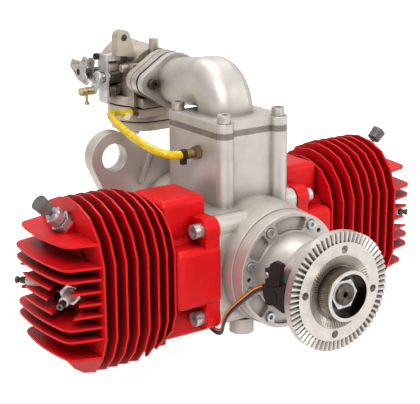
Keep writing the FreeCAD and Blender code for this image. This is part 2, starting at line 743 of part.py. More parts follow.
def make_rear_mount():
    y_axis = Vector(0, 1, 0)
    plate = Part.makeCylinder(d.mount_disc_radius, d.mount_thickness, Vector(0, d.mount_face, 0), y_axis)
    arms, holes = [], []
    for sx in (-1, 1):
        for sz in (-1, 1):
            x, z = sx * d.mount_hole_x, sz * d.mount_hole_z
            arms.append(hull_of_circles(d.mount_disc_radius, d.mount_lobe_radius, x, z,
                                        d.mount_face, d.mount_thickness))
            holes.append(Part.makeCylinder(d.mount_hole_radius, d.mount_thickness + 2,
                                           Vector(x, d.mount_face - 1, z), y_axis))
            foot = Vector(sx * d.rib_x - d.rib_width / 2, d.mount_face - d.rib_height, -d.rib_length / 2)
            rib = Part.makeBox(d.rib_width, d.rib_height + 0.5, d.rib_length, foot)
            rib.rotate(Vector(sx * d.rib_x, d.mount_face, 0), y_axis, -sx * sz * d.rib_tilt)
            rib.translate(Vector(0, 0, sz * d.rib_z))
            arms.append(rib)
    for angle in ring_angles(4, 45):
        at = Vector(d.mount_screw_circle * math.cos(math.radians(angle)), d.mount_face - 1,
                    d.mount_screw_circle * math.sin(math.radians(angle)))
        holes.append(Part.makeCylinder(d.mount_screw_radius + 0.3, d.mount_thickness + 2, at, y_axis))
    shape = plate.multiFuse(arms).removeSplitter().cut(Part.makeCompound(holes))
    node("rear_mount_plate", formed(shape))
    screws = []
    for angle in ring_angles(4, 45):
        x, z = on_circle("mount_screw_circle", angle)
        screws.append(cap_screw("mount_screw_radius", 8, "mount_thickness + 12",
                                (x, "mount_face + mount_thickness", z), "+Y"))
    node("rear_mount_screws", group(*screws))


def fin_outline(scale):
    """Half octagon with rounded shoulders, closed, as a wire in local y and z."""
    w, s = d.fin_half_width * scale, d.fin_half_side * scale
    y, z, top = d.fin_shoulder_y * scale, d.fin_shoulder_z * scale, d.fin_top * scale
    quarter = [(w, s), (0.5 * (w + y) + 3, 0.5 * (s + z) + 2), (y, z), (0.5 * y, z + 0.72 * (top - z)), (0, top)]
    upper = quarter + [(-a, b) for a, b in reversed(quarter[:-1])]
    return upper + [(a, -b) for a, b in reversed(upper)]


def cylinder_shape(sign, centre):
    """One monobloc cylinder and head, worked out along +u and then placed."""
    def at(u, v, w):
        return Vector(sign * u, centre + sign * v, w)
    out = Vector(sign, 0, 0)
    start = d.pad_reach + d.gasket_thickness
    flange_end = start + d.base_flange

    def block(u0, u1, half_v, w0, w1):
        low_x = min(sign * u0, sign * u1)
        return Part.makeBox(abs(u1 - u0), 2 * half_v, w1 - w0, Vector(low_x, centre - half_v, w0))

    def bulge(half_v, w0, w1):
        shape = block(start, d.bulge_end, half_v, w0, w1)
        inner = [edge for edge in shape.Edges if abs(edge.CenterOfMass.x - sign * start) < 0.1]
        return shape.makeFillet(d.bulge_round, [edge for edge in shape.Edges if not any(edge.isSame(e) for e in inner)])

    body = [
        Part.makeCylinder(d.barrel_radius, d.head_end - start, at(start, 0, 0), out),
        block(start, flange_end, d.pad_half - 12, -d.pad_half, d.pad_half),
        block(start, flange_end, d.pad_half, 12 - d.pad_half, d.pad_half - 12),
        bulge(d.bulge_half, -d.exhaust_face, d.bulge_top),
        bulge(d.bulge_side, -d.bulge_half, d.bulge_half),
        Part.makeCylinder(d.cylinder_bore_radius + 3.9, 7, at(start - 7, 0, 0), out),
    ]
    for sv in (-1, 1):
        for sw in (-1, 1):
            body.append(Part.makeCylinder(d.base_lobe_radius, d.base_flange,
                                          at(start, sv * d.base_screw_y, sw * d.base_screw_z), out))
    for k in range(int(d.fin_count)):
        scale = (0.86, 0.93, 0.98)[k] if k < 3 else 1.0
        u = d.fin_first + k * d.fin_pitch
        ring = [at(u - d.fin_thickness / 2, v, w) for v, w in fin_outline(scale)]
        face = Part.Face(Part.makePolygon(ring + ring[:1]))
        body.append(face.extrude(out * d.fin_thickness))
    head_start = d.fin_first + (d.fin_count - 1) * d.fin_pitch
    body.append(Part.makeCylinder(d.fin_half_side + 10, d.head_end - d.deck, at(d.deck, 0, 0), out))
    rows = [k * d.head_fin_pitch for k in range(-3, 4)] + [-d.head_fin_outer, d.head_fin_outer]
    for w in rows:
        step = 0 if abs(w) < d.head_fin_outer else d.head_fin_step
        reach, half, r = d.head_fin_apex - step, d.head_fin_half - step, d.head_fin_corner
        ends = [[(head_start, half), (reach - 1.3 * r, half - 0.45 * r)], [(reach - 0.32 * r, half - 1.3 * r)]]
        low, high = at(*ends[0][1], w), at(*ends[1][0], w)
        corner = at(reach - 0.68 * r, half - 0.72 * r, w)
        mirror = [at(u, -v, w) for u, v in ends[1] + [(reach - 0.68 * r, half - 0.72 * r)] + ends[0][::-1]]
        edge = Part.Wire([
            Part.LineSegment(at(head_start, half, w), low).toShape(),
            Part.Arc(low, corner, high).toShape(),
            Part.Arc(high, at(reach, 0, w), mirror[0]).toShape(),
            Part.Arc(mirror[0], mirror[1], mirror[2]).toShape(),
            Part.LineSegment(mirror[2], mirror[3]).toShape(),
            Part.LineSegment(mirror[3], at(head_start, half, w)).toShape()])
        leaf = Part.Face(edge).extrude(Vector(0, 0, d.head_fin_thickness))
        leaf.translate(Vector(0, 0, -d.head_fin_thickness / 2))
        body.append(leaf)
    lean = math.radians(d.plug_turn)
    well_tools, plug_tools = [], []
    for sv in (-1, 1):
        way = Vector(sign * math.cos(lean), sign * sv * math.sin(lean), 0)
        cross = at(d.plug_cross, 0, 0)
        seat = cross + way * d.plug_seat
        body.append(Part.makeCylinder(d.plug_hex_across * 0.62, d.plug_seat, cross, way))
        well_tools.append(Part.makeCylinder(d.plug_well_radius, 60, seat, way))
        plug_tools.append(Part.makeCylinder(d.plug_thread_radius, d.plug_seat + 30, cross - way * 8, way))
    tilt = math.radians(d.valve_turn)
    valve_way = Vector(sign * math.cos(tilt), 0, math.sin(tilt))
    seat = at(d.valve_seat_x, 0, d.valve_seat_z)
    flange = 0.6 * d.valve_flange_across
    body.append(Part.makeCylinder(flange, 26, seat - valve_way * 26, valve_way))
    pad = Part.Face(Part.makePolygon([at(head_start, -flange, d.head_fin_outer), at(
        d.valve_seat_x + d.valve_seat_z - d.head_fin_outer, -flange, d.head_fin_outer), at(
        head_start, -flange, d.valve_seat_x + d.valve_seat_z - head_start), at(head_start, -flange, d.head_fin_outer)]))
    body.append(pad.extrude(at(0, flange, 0) - at(0, -flange, 0)))
    solid = body[0].multiFuse(body[1:]).removeSplitter()
    tools = [
        Part.makeCylinder(d.cylinder_bore_radius, d.deck - start + 8, at(start - 8, 0, 0), out),
        Part.makeCone(d.cylinder_bore_radius - 3, 9, d.dome_height, at(d.deck, 0, 0), out),
        Part.makeCylinder(9, d.plug_cross - d.deck - 2, at(d.deck, 0, 0), out),
        block(d.exhaust_centre - d.exhaust_half_height, d.exhaust_centre + d.exhaust_half_height,
              d.exhaust_half_width, -d.exhaust_face - 20, 0),
        block(d.exhaust_centre - 13, d.exhaust_centre + 13, d.exhaust_stud_spacing / 2 + 9,
              -d.exhaust_face - 20, -d.exhaust_face),
        Part.makeCylinder(d.valve_thread_radius, 45, seat - valve_way * 44, valve_way),
        Part.makeCylinder(flange, 40, seat, valve_way),
    ]
    tools += well_tools + plug_tools
    for sv in (-1, 1):
        stud = sv * d.exhaust_stud_spacing / 2
        tools.append(Part.makeCylinder(d.exhaust_stud_radius, 12,
                                       at(d.exhaust_centre, stud, -d.exhaust_face - 1), Vector(0, 0, 1)))
        for sw in (-1, 1):
            tools.append(Part.makeCylinder(d.base_screw_radius + 0.3, d.base_flange + 2,
                                           at(start - 1, sv * d.base_screw_y, sw * d.base_screw_z), out))
            tools.append(Part.makeCylinder(8.2, 22, at(flange_end, sv * d.base_screw_y, sw * d.base_screw_z), out))
    solid = solid.cut(Part.makeCompound([]) if not tools else tools[0].multiFuse(tools[1:]))
    pad = block(d.exhaust_centre - 12, d.exhaust_centre + 12, d.exhaust_stud_spacing / 2 + 7,
                -d.exhaust_face, -d.barrel_radius + 6)
    duct = block(d.exhaust_centre - d.exhaust_half_height, d.exhaust_centre + d.exhaust_half_height,
                 d.exhaust_half_width, -d.exhaust_face - 20, 0)
    bore = Part.makeCylinder(d.cylinder_bore_radius, d.deck - start, at(start, 0, 0), out)
    studs = [Part.makeCylinder(d.exhaust_stud_radius, 12,
                               at(d.exhaust_centre, sv * d.exhaust_stud_spacing / 2, -d.exhaust_face - 1),
                               Vector(0, 0, 1)) for sv in (-1, 1)]
    pad = pad.cut(duct.multiFuse([bore] + studs))
    return solid.fuse(pad).removeSplitter()


def make_cylinders():
    gaskets, bolts = [], []
    for side, sign in SIDES.items():
        number = d.tower_centre + sign * d.cylinder_offset
        node(f"cylinder_{side}", formed(cylinder_shape(sign, number)))
        centre = f"tower_centre + {sign} * cylinder_offset"
        low = "pad_reach" if sign > 0 else "-pad_reach - gasket_thickness"
        high = "pad_reach + gasket_thickness" if sign > 0 else "-pad_reach"
        sheet_body = fuse(
            box((low, f"{centre} - pad_half + 12", "-pad_half"), (high, f"{centre} + pad_half - 12", "pad_half")),
            box((low, f"{centre} - pad_half", "12 - pad_half"), (high, f"{centre} + pad_half", "pad_half - 12")))
        axis = "+X" if sign > 0 else "-X"
        holes = [cylinder("spigot_hole_radius", 20, (f"{sign} * (pad_reach - 8)", centre, 0), axis)]
        for sy in ("-", "+"):
            for sz in ("-", ""):
                spot = (f"{sign} * (pad_reach - 8)", f"{centre} {sy} base_screw_y", f"{sz}base_screw_z")
                holes.append(cylinder("base_screw_radius + 0.3", 20, spot, axis))
                under = (f"{sign} * (pad_reach + gasket_thickness + base_flange)", spot[1], spot[2])
                bolts.append(cap_screw("base_screw_radius", 8, "base_flange + gasket_thickness + 16", under, axis))
        gaskets.append(cut(sheet_body, *holes))
    node("cylinder_bolts", group(*bolts))
    return gaskets


def make_plugs_and_valves():
    shells, insulators, terminals, valve_bodies = [], [], [], []
    for side, sign in SIDES.items():
        centre = f"tower_centre + {sign} * cylinder_offset"
        lean = math.radians(d.plug_turn)
        for sv in (-1, 1):
            way = Vector(sign * math.cos(lean), sign * sv * math.sin(lean), 0)
            def spot(distance):
                along = f"{sign} * (plug_cross + ({distance}) * cos(plug_turn))"
                across = f"{centre} + {sign * sv} * ({distance}) * sin(plug_turn)"
                return (along, across, 0)
            shell = fuse(
                cylinder("plug_thread_radius - 0.02", "plug_reach", spot("plug_seat - plug_reach"), way),
                hexagon("plug_hex_across", "plug_hex_length", spot("plug_seat"), way))
            core = "insulator_radius - 1.4"
            shells.append(cut(shell, cylinder(core, "plug_reach + plug_hex_length + 2",
                                              spot("plug_seat - plug_reach - 1"), way)))
            top = "plug_seat + plug_hex_length"
            insulators.append(fuse(
                cylinder(core, "plug_reach + plug_hex_length", spot("plug_seat - plug_reach"), way),
                cylinder("insulator_radius", "insulator_length", spot(top), way)))
            terminals.append(cylinder("terminal_radius", "terminal_length", spot(f"{top} + insulator_length"), way))
        tilt = math.radians(d.valve_turn)
        way = Vector(sign * math.cos(tilt), 0, math.sin(tilt))
        def up(distance):
            return (f"{sign} * (valve_seat_x + ({distance}) * cos(valve_turn))", centre,
                    f"valve_seat_z + ({distance}) * sin(valve_turn)")
        housing = fuse(
            cylinder("valve_thread_radius - 0.02", "valve_thread_length", up("-valve_thread_length"), way),
            hexagon("valve_flange_across", "valve_flange_length", up(0), way),
            hexagon("valve_hex_across", "valve_hex_length", up("valve_flange_length + valve_groove"), way),
            cylinder("valve_body_radius", "valve_body_length", up(0), way))
        valve_bodies.append(cut(housing, cylinder("valve_stem_radius + 0.05", "60", up("-30"), way)))
        stem_end = "valve_body_length + valve_travel + 1"
        button = fuse(
            cylinder("valve_stem_radius", f"{stem_end} + 12", up(-10), way),
            cylinder("knob_radius", "knob_length", up(stem_end), way))
        node(f"decomp_button_{side}", button)
    node("spark_plug_shells", group(*shells))
    node("spark_plug_insulators", group(*insulators))
    node("spark_plug_terminals", group(*terminals))
    node("decomp_bodies", group(*valve_bodies))


def tower_outline(z, height, inset=0.0):
    """The tower's plan: a rectangle with a round post at each corner."""
    x, y = d.tower_half_x - inset, d.tower_half_y - inset
    core = Part.makeBox(2 * x, 2 * y, height, Vector(-x, d.tower_centre - y, z))
    posts = [Part.makeCylinder(d.post_radius - inset, height, Vector(sx * d.post_x, d.tower_centre + sy * d.post_y, z))
             for sx in (-1, 1) for sy in (-1, 1)]
    return core.multiFuse(posts).removeSplitter()


def post_holes(radius, z, height):
    return [Part.makeCylinder(radius, height, Vector(sx * d.post_x, d.tower_centre + sy * d.post_y, z))
            for sx in (-1, 1) for sy in (-1, 1)]


def make_reeds():
    """A wedge-shaped reed cage hanging in the tower, with two petals a side."""
    top = d.tower_top
    flange = tower_outline(top, d.reed_flange)
    x, y, drop = d.reed_half_x, d.reed_half_y, d.reed_drop
    wedge = polygon([(-x, d.tower_centre - y, top), (x, d.tower_centre - y, top),
                     (3, d.tower_centre - y, top - drop), (-3, d.tower_centre - y, top - drop)], (0, 2 * y, 0))
    wall = 3.0
    hollow = polygon([(wall - x, d.tower_centre - y + wall, top + 20), (x - wall, d.tower_centre - y + wall, top + 20),
                      (x - wall, d.tower_centre - y + wall, top), (1, d.tower_centre - y + wall, top - drop + 6),
                      (-1, d.tower_centre - y + wall, top - drop + 6), (wall - x, d.tower_centre - y + wall, top)],
                     (0, 2 * y - 2 * wall, 0))
    slope = math.atan2(x - 3, drop)
    petals, windows = [], []
    for sx in (-1, 1):
        for sy in (-1, 1):
            window = Part.makeBox(20, y - 6, drop * 0.62, Vector(-10, -(y - 6) / 2, -drop * 0.72))
            petal = Part.makeBox(0.4, y - 2.5, drop * 0.84, Vector(0.3, -(y - 2.5) / 2, -drop * 0.86))
            for piece, store in ((window, windows), (petal, petals)):
                piece.rotate(Vector(), Vector(0, 1, 0), math.degrees(slope))
                if sx < 0:
                    piece = piece.mirror(Vector(), Vector(1, 0, 0))
                piece.translate(Vector(sx * x, d.tower_centre + sy * y / 2, top))
                store.append(piece)
    cage = flange.fuse(wedge).cut(hollow.multiFuse(windows + post_holes(d.post_screw_radius + 0.3, top - 1, d.reed_flange + 2)))
    node("reed_block", formed(cage.removeSplitter()))
    node("reed_petals", formed(Part.makeCompound(petals)))


def diamond(y, length):
    """The two-bolt intake flange: a round middle tangent to a lobe at each bolt."""
    middle = Part.makeCylinder(d.flange_middle_radius, length, Vector(0, y, 0), Vector(0, 1, 0))
    arms = [hull_of_circles(d.flange_middle_radius, d.flange_end_radius, sx * d.flange_screw_x, 0, y, length)
            for sx in (-1, 1)]
    plate = middle.multiFuse(arms).removeSplitter()
    plate.translate(Vector(0, 0, d.flange_height))
    return plate


def diamond_holes(y, length, radius):
    return [Part.makeCylinder(radius, length, Vector(sx * d.flange_screw_x, y, d.flange_height), Vector(0, 1, 0))
            for sx in (-1, 1)]


def oval(half_x, half_y, centre, z, roundness=0.72):
    """A rounded rectangle as a wire, level at height z."""
    r = roundness * min(half_x, half_y)
    corners = [(half_x - r, half_y - r, 0), (r - half_x, half_y - r, 90),
               (r - half_x, r - half_y, 180), (half_x - r, r - half_y, 270)]
    edges, previous, first = [], None, None
    for cx, cy, angle in corners:
        def on(turn):
            return Vector(cx + r * math.cos(math.radians(turn)), centre + cy + r * math.sin(math.radians(turn)), z)
        a, m, b = on(angle), on(angle + 45), on(angle + 90)
        if previous is not None:
            edges.append(Part.LineSegment(previous, a).toShape())
        first = a if first is None else first
        edges.append(Part.Arc(a, m, b).toShape())
        previous = b
    edges.append(Part.LineSegment(previous, first).toShape())
    return Part.Wire(edges)


def bend(half_x, half_y, centre, pivot, z):
    """The oval turned a quarter round a line along X at the pivot."""
    face = Part.Face(oval(half_x, half_y, centre, z))
    return face.revolve(Vector(0, pivot, z), Vector(1, 0, 0), -90)


def make_elbow():
    base = d.tower_top + d.reed_flange
    top = base + d.elbow_plate
    plate = tower_outline(base, d.elbow_plate)
    half_y = d.elbow_half_y
    centre = d.elbow_bend_y - d.elbow_inner_bend - half_y
    pivot = d.elbow_bend_y
    outer = bend(d.elbow_half_x, half_y, centre, pivot, top)
    inner = bend(d.elbow_half_x - d.elbow_wall, half_y - d.elbow_wall, centre, pivot, top)
    axis_z = top + d.elbow_inner_bend + half_y

    def runner(shrink):
        radius = d.throat_radius if shrink else d.elbow_end_radius
        start = oval(d.elbow_half_x - shrink, half_y - shrink, 0, 0)
        end = oval(radius, radius, 0, 0, 0.97)
        for ring, y, z in ((start, pivot, axis_z), (end, d.flange_face + 1, d.flange_height)):
            ring.rotate(Vector(), Vector(1, 0, 0), 90)
            ring.translate(Vector(0, y, z))
        return Part.makeLoft([start, end], True, True)
    flange = diamond(d.flange_face, d.flange_thickness)
    solid = plate.multiFuse([outer, runner(0.0), flange])
    throat = Part.makeCylinder(d.throat_radius, d.flange_thickness + 2,
                               Vector(0, d.flange_face, d.flange_height), Vector(0, 1, 0))
    opening = Part.Face(oval(d.elbow_half_x - d.elbow_wall, half_y - d.elbow_wall, centre, base - 1))
    entry = opening.extrude(Vector(0, 0, d.elbow_plate + 1))
    hollow = entry.multiFuse([inner, runner(d.elbow_wall), throat]
                             + post_holes(d.post_screw_radius + 0.3, base - 1, d.elbow_plate + 2)
                             + diamond_holes(d.flange_face - 1, d.flange_thickness + 2, d.carb_screw_radius + 0.2))
    node("intake_elbow", formed(solid.cut(hollow)))
    screws = []
    for sx in ("-", ""):
        for sy in ("-", "+"):
            screws.append(cap_screw("post_screw_radius", 7.5, "elbow_plate + reed_flange + 16",
                                    (f"{sx}post_x", f"tower_centre {sy} post_y",
                                     "tower_top + reed_flange + elbow_plate"), "+Z"))
    node("elbow_screws", group(*screws))


def make_carburettor(gaskets):
    y_axis, x_axis = Vector(0, 1, 0), Vector(1, 0, 0)
    back = d.flange_face + d.flange_thickness
    spacer_start = back + d.black_gasket
    thin_start = spacer_start + d.spacer_thickness
    carb_start = thin_start + d.thin_gasket
    neck = carb_start + d.carb_flange
    w, z = d.carb_half_width, d.flange_height
    bottom = z - d.carb_depth
    room = Part.makeBox(4 * w, 200, 60, Vector(-2 * w, neck + 0.3, bottom - 59.8))

    def slab_of(inset, low, height):
        return Part.Face(oval(w - inset, d.pump_half_y - inset, d.pump_centre, low, 0.93)).extrude(Vector(0, 0, height))

    def flange_layer(start, length):
        throat = Part.makeCylinder(d.throat_radius, length + 2, Vector(0, start - 1, z), y_axis)
        holes = diamond_holes(start - 1, length + 2, d.carb_screw_radius + 0.2)
        return diamond(start, length).cut(throat.multiFuse(holes + [room]))
    gaskets += [formed(flange_layer(back, d.black_gasket)), formed(flange_layer(thin_start, d.thin_gasket))]
    node("carb_spacer", formed(flange_layer(spacer_start, d.spacer_thickness)))

    ear_x, ear_z, ear_y = -w + 3, z + 39, neck + 14
    body = diamond(carb_start, d.carb_flange).multiFuse([
        Part.makeCylinder(d.carb_barrel_radius, d.carb_horn_end - carb_start, Vector(0, carb_start, z), y_axis),
        slab_of(0, bottom, 9),
        Part.makeBox(2 * w - 20, d.pump_centre - carb_start - 1, 9, Vector(10 - w, carb_start + 0.5, bottom + 0.3)),
        Part.makeBox(2 * w - 12, d.carb_rear - neck - 4, z - bottom + 14, Vector(6 - w, neck + 3, bottom)),
        Part.makeCone(d.carb_shell_radius, d.carb_horn_radius, d.carb_horn_end - neck - 12,
                      Vector(0, neck + 12, z), y_axis),
        Part.makeCylinder(8, 2 * w - 10, Vector(5 - w, d.throttle_y, z), x_axis),
        Part.makeCylinder(8, 2 * w - 10, Vector(5 - w, d.choke_y, z), x_axis),
        Part.makeBox(12, 12, 12, Vector(-w, d.throttle_y - 6, z + 7.8)),
        Part.makeCylinder(7.4, 11, Vector(ear_x, ear_y, ear_z), y_axis),
        polygon([(ear_x - 7.4, ear_y, z + 22), (ear_x + 12, ear_y, z + 20), (ear_x + 7.4, ear_y, ear_z),
                 (ear_x - 7.4, ear_y, ear_z)], (0, 11, 0)),
        Part.makeCylinder(4.5, 36, Vector(-1, neck + 12, z)),
    ])
    tools = [
        Part.makeCylinder(d.carb_bore_radius, 200, Vector(0, carb_start - 1, z), y_axis),
        Part.makeCylinder(3.4, 20, Vector(ear_x, ear_y - 5, ear_z), y_axis),
        Part.makeCone(d.carb_bore_radius, d.carb_horn_radius - 3, 9, Vector(0, d.carb_horn_end - 8.9, z), y_axis),
        room,
    ] + diamond_holes(carb_start - 1, d.carb_flange + 1, d.carb_screw_radius)
    for y in (d.throttle_y, d.choke_y):
        tools.append(Part.makeCylinder(d.control_shaft_radius + d.shaft_gap, 4 * w, Vector(-2 * w, y, z), x_axis))
    node("carb_body", formed(body.cut(tools[0].multiFuse(tools[1:])).removeSplitter()))

    layers = [
        ("sheet", d.diaphragm), ("pump_body", d.pump_height), ("sheet", d.diaphragm), ("pump_cover", d.lid_height)]
    spots = [(sx * 21, d.pump_centre + sy * 18.5) for sx in (-1, 1) for sy in (-1, 1)]
    sheets, low = [], bottom
    for name, height in layers:
        low -= height
        inset = {"sheet": 0.8, "pump_body": 0.0, "pump_cover": d.lid_inset}[name]
        slab = slab_of(inset, low, height)
        if name == "pump_body":
            port = Part.makeBox(d.barb_x, 13, d.barb_drop + 5 - d.diaphragm,
                                Vector(-d.barb_x, d.barb_y - 6.5, bottom - d.barb_drop - 5))
            slab = slab.fuse(port).removeSplitter()
            slab = slab.cut(Part.makeCylinder(d.hose_bore, 12, Vector(-d.barb_x - 1, d.barb_y, bottom - d.barb_drop), x_axis))
        slab = slab.cut(Part.makeCompound([Part.makeCylinder(2.0, height + 2, Vector(x, y, low - 1)) for x, y in spots]))
        if name == "sheet":
            sheets.append(formed(slab))
            continue
        node(name, formed(slab))
    node("carb_diaphragms", group(*sheets))
    screws = [cap_screw("2", 3, bottom - low - 1, (x, y, low), "-Z") for x, y in spots]
    node("carb_cover_screws", group(*screws))
    bolts = [cap_screw("carb_screw_radius", 6,
                       "flange_thickness + black_gasket + spacer_thickness + thin_gasket + carb_flange - 1",
                       (f"{sx}flange_screw_x", "flange_face", "flange_height"), "-Y") for sx in ("-", "")]
    node("carb_mount_screws", group(*bolts))


def make_controls():
    """Throttle and choke: shafts across the bore, each with a disc and a lever."""
    w, z, r = d.carb_half_width, d.flange_height, d.control_shaft_radius
    x_axis = Vector(1, 0, 0)
    plate_x = -w - d.bracket_reach
    y = d.throttle_y
    bracket = Part.makeBox(2.2, 17, 48, Vector(plate_x, y - 6, z - 26))
    tab = Part.makeBox(17, 9, 2.2, Vector(plate_x, y - 6, z + 19.8))
    foot = Part.makeBox(15, 9, 2.2, Vector(plate_x, y + 2, z - d.carb_depth + 9))
    sleeve = Part.makeCylinder(7, 8.5, Vector(plate_x + 2.2, y, z), x_axis)
    holes = Part.makeCompound([Part.makeCylinder(r + 1, 40, Vector(plate_x - 10, y, z), x_axis)])
    node("throttle_bracket", formed(bracket.multiFuse([tab, foot, sleeve]).cut(holes).removeSplitter()))
    levers = {
        "throttle": (y, -w - d.throttle_lever_reach, [(-6, -2), (6, 2), (13, -12), (5, -17)], (9, -14)),
        "choke": (d.choke_y, -w - d.choke_lever_reach, [(-5, 2), (5, -3), (6, 14), (-4, 17), (-13, 15), (-13, 9)], None),
    }
    for name, (y, lever_x, outline, pin) in levers.items():
        reach = -lever_x + 1
        shaft = Part.makeCylinder(r, reach + w - 3, Vector(-reach, y, z), x_axis)
        disc = Part.makeCylinder(d.carb_bore_radius - d.butterfly_gap, d.butterfly_thickness,
                                 Vector(0, y - d.butterfly_thickness / 2, z), Vector(0, 1, 0))
        slot = Part.makeBox(2 * d.carb_bore_radius + 1, d.butterfly_thickness, 2 * r + 2,
                            Vector(-d.carb_bore_radius - 0.5, y - d.butterfly_thickness / 2, z - r - 1))
        if name == "choke":
            disc.rotate(Vector(0, y, z), x_axis, 90)
            slot.rotate(Vector(0, y, z), x_axis, 90)
        shaft = shaft.cut(slot)
        lever = Part.makeCylinder(6.5, 2, Vector(lever_x, y, z), x_axis)
        lever = lever.fuse(polygon([(lever_x, y + a, z + b) for a, b in outline], (2, 0, 0)))
        if pin:
            spot = Vector(lever_x, y + pin[0], z + pin[1])
            lever = lever.cut(Part.makeCylinder(r, 10, Vector(lever_x - 4, y, z), x_axis))
            lever = lever.fuse(Part.makeCylinder(4, 2, spot, x_axis))
            lever = lever.cut(Part.makeCylinder(2 + d.shaft_gap, 10, spot - x_axis * 4, x_axis))
            barrel = Part.makeCylinder(4.2, 11, spot - x_axis * 11.3, x_axis)
            barrel = barrel.fuse(Part.makeCylinder(2, 5, spot - x_axis, x_axis))
            barrel = barrel.fuse(Part.makeCylinder(1.4, 7, spot - x_axis * 7 - Vector(0, 0, 11)))
            node("cable_swivel", formed(barrel.cut(Part.makeCylinder(1.1, 16, spot - x_axis * 7 - Vector(0, 8, 0),
                                                                    Vector(0, 1, 0)))))
            node(f"{name}_lever", formed(lever.removeSplitter()))
        else:
            shaft = shaft.fuse(lever).removeSplitter()
        node(f"{name}_shaft", formed(shaft))
        node(f"{name}_plate", formed(disc))


# Side outlines of the sensor's case and of the clamp above it, as y and z.
SENSOR_CASE = ((45.0, 3.8), (45.0, -3.0), (43.0, -9.0), (17.0, -14.0), (16.0, -10.0), (16.0, 9.0), (37.0, 2.5))
SENSOR_CLAMP = ((38.2, 0.0), (38.2, 16.0), (37.0, 23.0), (30.5, 27.5), (22.5, 27.0), (25.0, 5.0))
HOSE_ROUTE = [
    (-50.5, 152.6, 95.0), (-63.5, 152.6, 95.0), (-74.5, 158.0, 98.5), (-80.5, 169.5, 101.8), (-81.0, 189.0, 105.5),
    (-80.0, 215.0, 110.5), (-76.5, 239.5, 115.2), (-67.9, 257.5, 116.0), (-55.5, 271.5, 112.6), (-43.6, 277.0, 108.7),
    (-33.6, 277.0, 108.7),
]
LEAD_LINE = d.clip_inset - d.pad_reach
LEAD_DROP = -d.pad_half - d.lead_radius - d.clip_wall
LEAD_ROUTE = [
    (-46.2, 45.6, 0.3), (-46.6, 55.0, -4.0), (-52.0, 62.6, -13.0), (-57.4, 71.0, -22.5), (-59.0, 80.0, -32.5),
    (-57.8, 87.0, -43.0), (-55.6, 92.0, -53.0), (-54.0, 103.5, -57.2), (-51.8, 119.0, -55.6), (LEAD_LINE - 0.1, 140.0, LEAD_DROP),
    (LEAD_LINE, 164.0, LEAD_DROP), (LEAD_LINE + 0.2, 183.0, LEAD_DROP), (-49.6, 195.0, -53.8), (-48.5, 204.0, -51.4), (-48.4, 210.0, -51.2),
]


def make_pulse_line():
    """A brass fitting in the tower, a translucent hose, its clip and a barb on the pump."""
    fitting, barb = Vector(*HOSE_ROUTE[0]), Vector(*HOSE_ROUTE[-1])
    base = ("-tower_half_x", "fitting_y", "fitting_z")
    hexagonal = hexagon("11", 5.5, base, "-X")
    shoulder = cylinder("hose_radius + 0.7", -fitting.x - d.tower_half_x, base, "-X")
    thread = cylinder("3.5", 8, base, "+X")
    stub = cylinder("hose_bore", -fitting.x - d.tower_half_x + 6.5, base, "-X")
    drill = cylinder("barb_bore", 60, (-70, "fitting_y", "fitting_z"), "+X")
    node("pulse_fitting", cut(fuse(hexagonal, shoulder, thread, stub), drill))
    node("pulse_hose", formed(tube(HOSE_ROUTE, d.hose_radius, d.hose_bore)))
    clip_end = fitting.x - 1.5
    hollow = ("hose_radius", 9, (clip_end + 2, "fitting_y", "fitting_z"), "-X")
    strap = cut(
        cylinder("hose_radius + 1.2", 5, (clip_end, "fitting_y", "fitting_z"), "-X"),
        cylinder(*hollow))
    latch = cut(
        box((clip_end - 5, "fitting_y - 2.2", "fitting_z - hose_radius - 5"),
            (clip_end, "fitting_y + 2.2", "fitting_z")),
        cylinder(*hollow))
    node("hose_clip", fuse(strap, latch))
    root = ("-barb_x", "barb_y", "flange_height - carb_depth - barb_drop")
    collar = cylinder("hose_radius + 0.6", -barb.x - d.barb_x, root, "-X")
    plug = cylinder("hose_bore", 5, root, "+X")
    nipple = cylinder("hose_bore", -barb.x - d.barb_x + 4.5, root, "-X")
    bore = cylinder("barb_bore", 40, ("-barb_x - 20", root[1], root[2]), "+X")
    node("pump_barb", cut(fuse(collar, plug, nipple), bore))


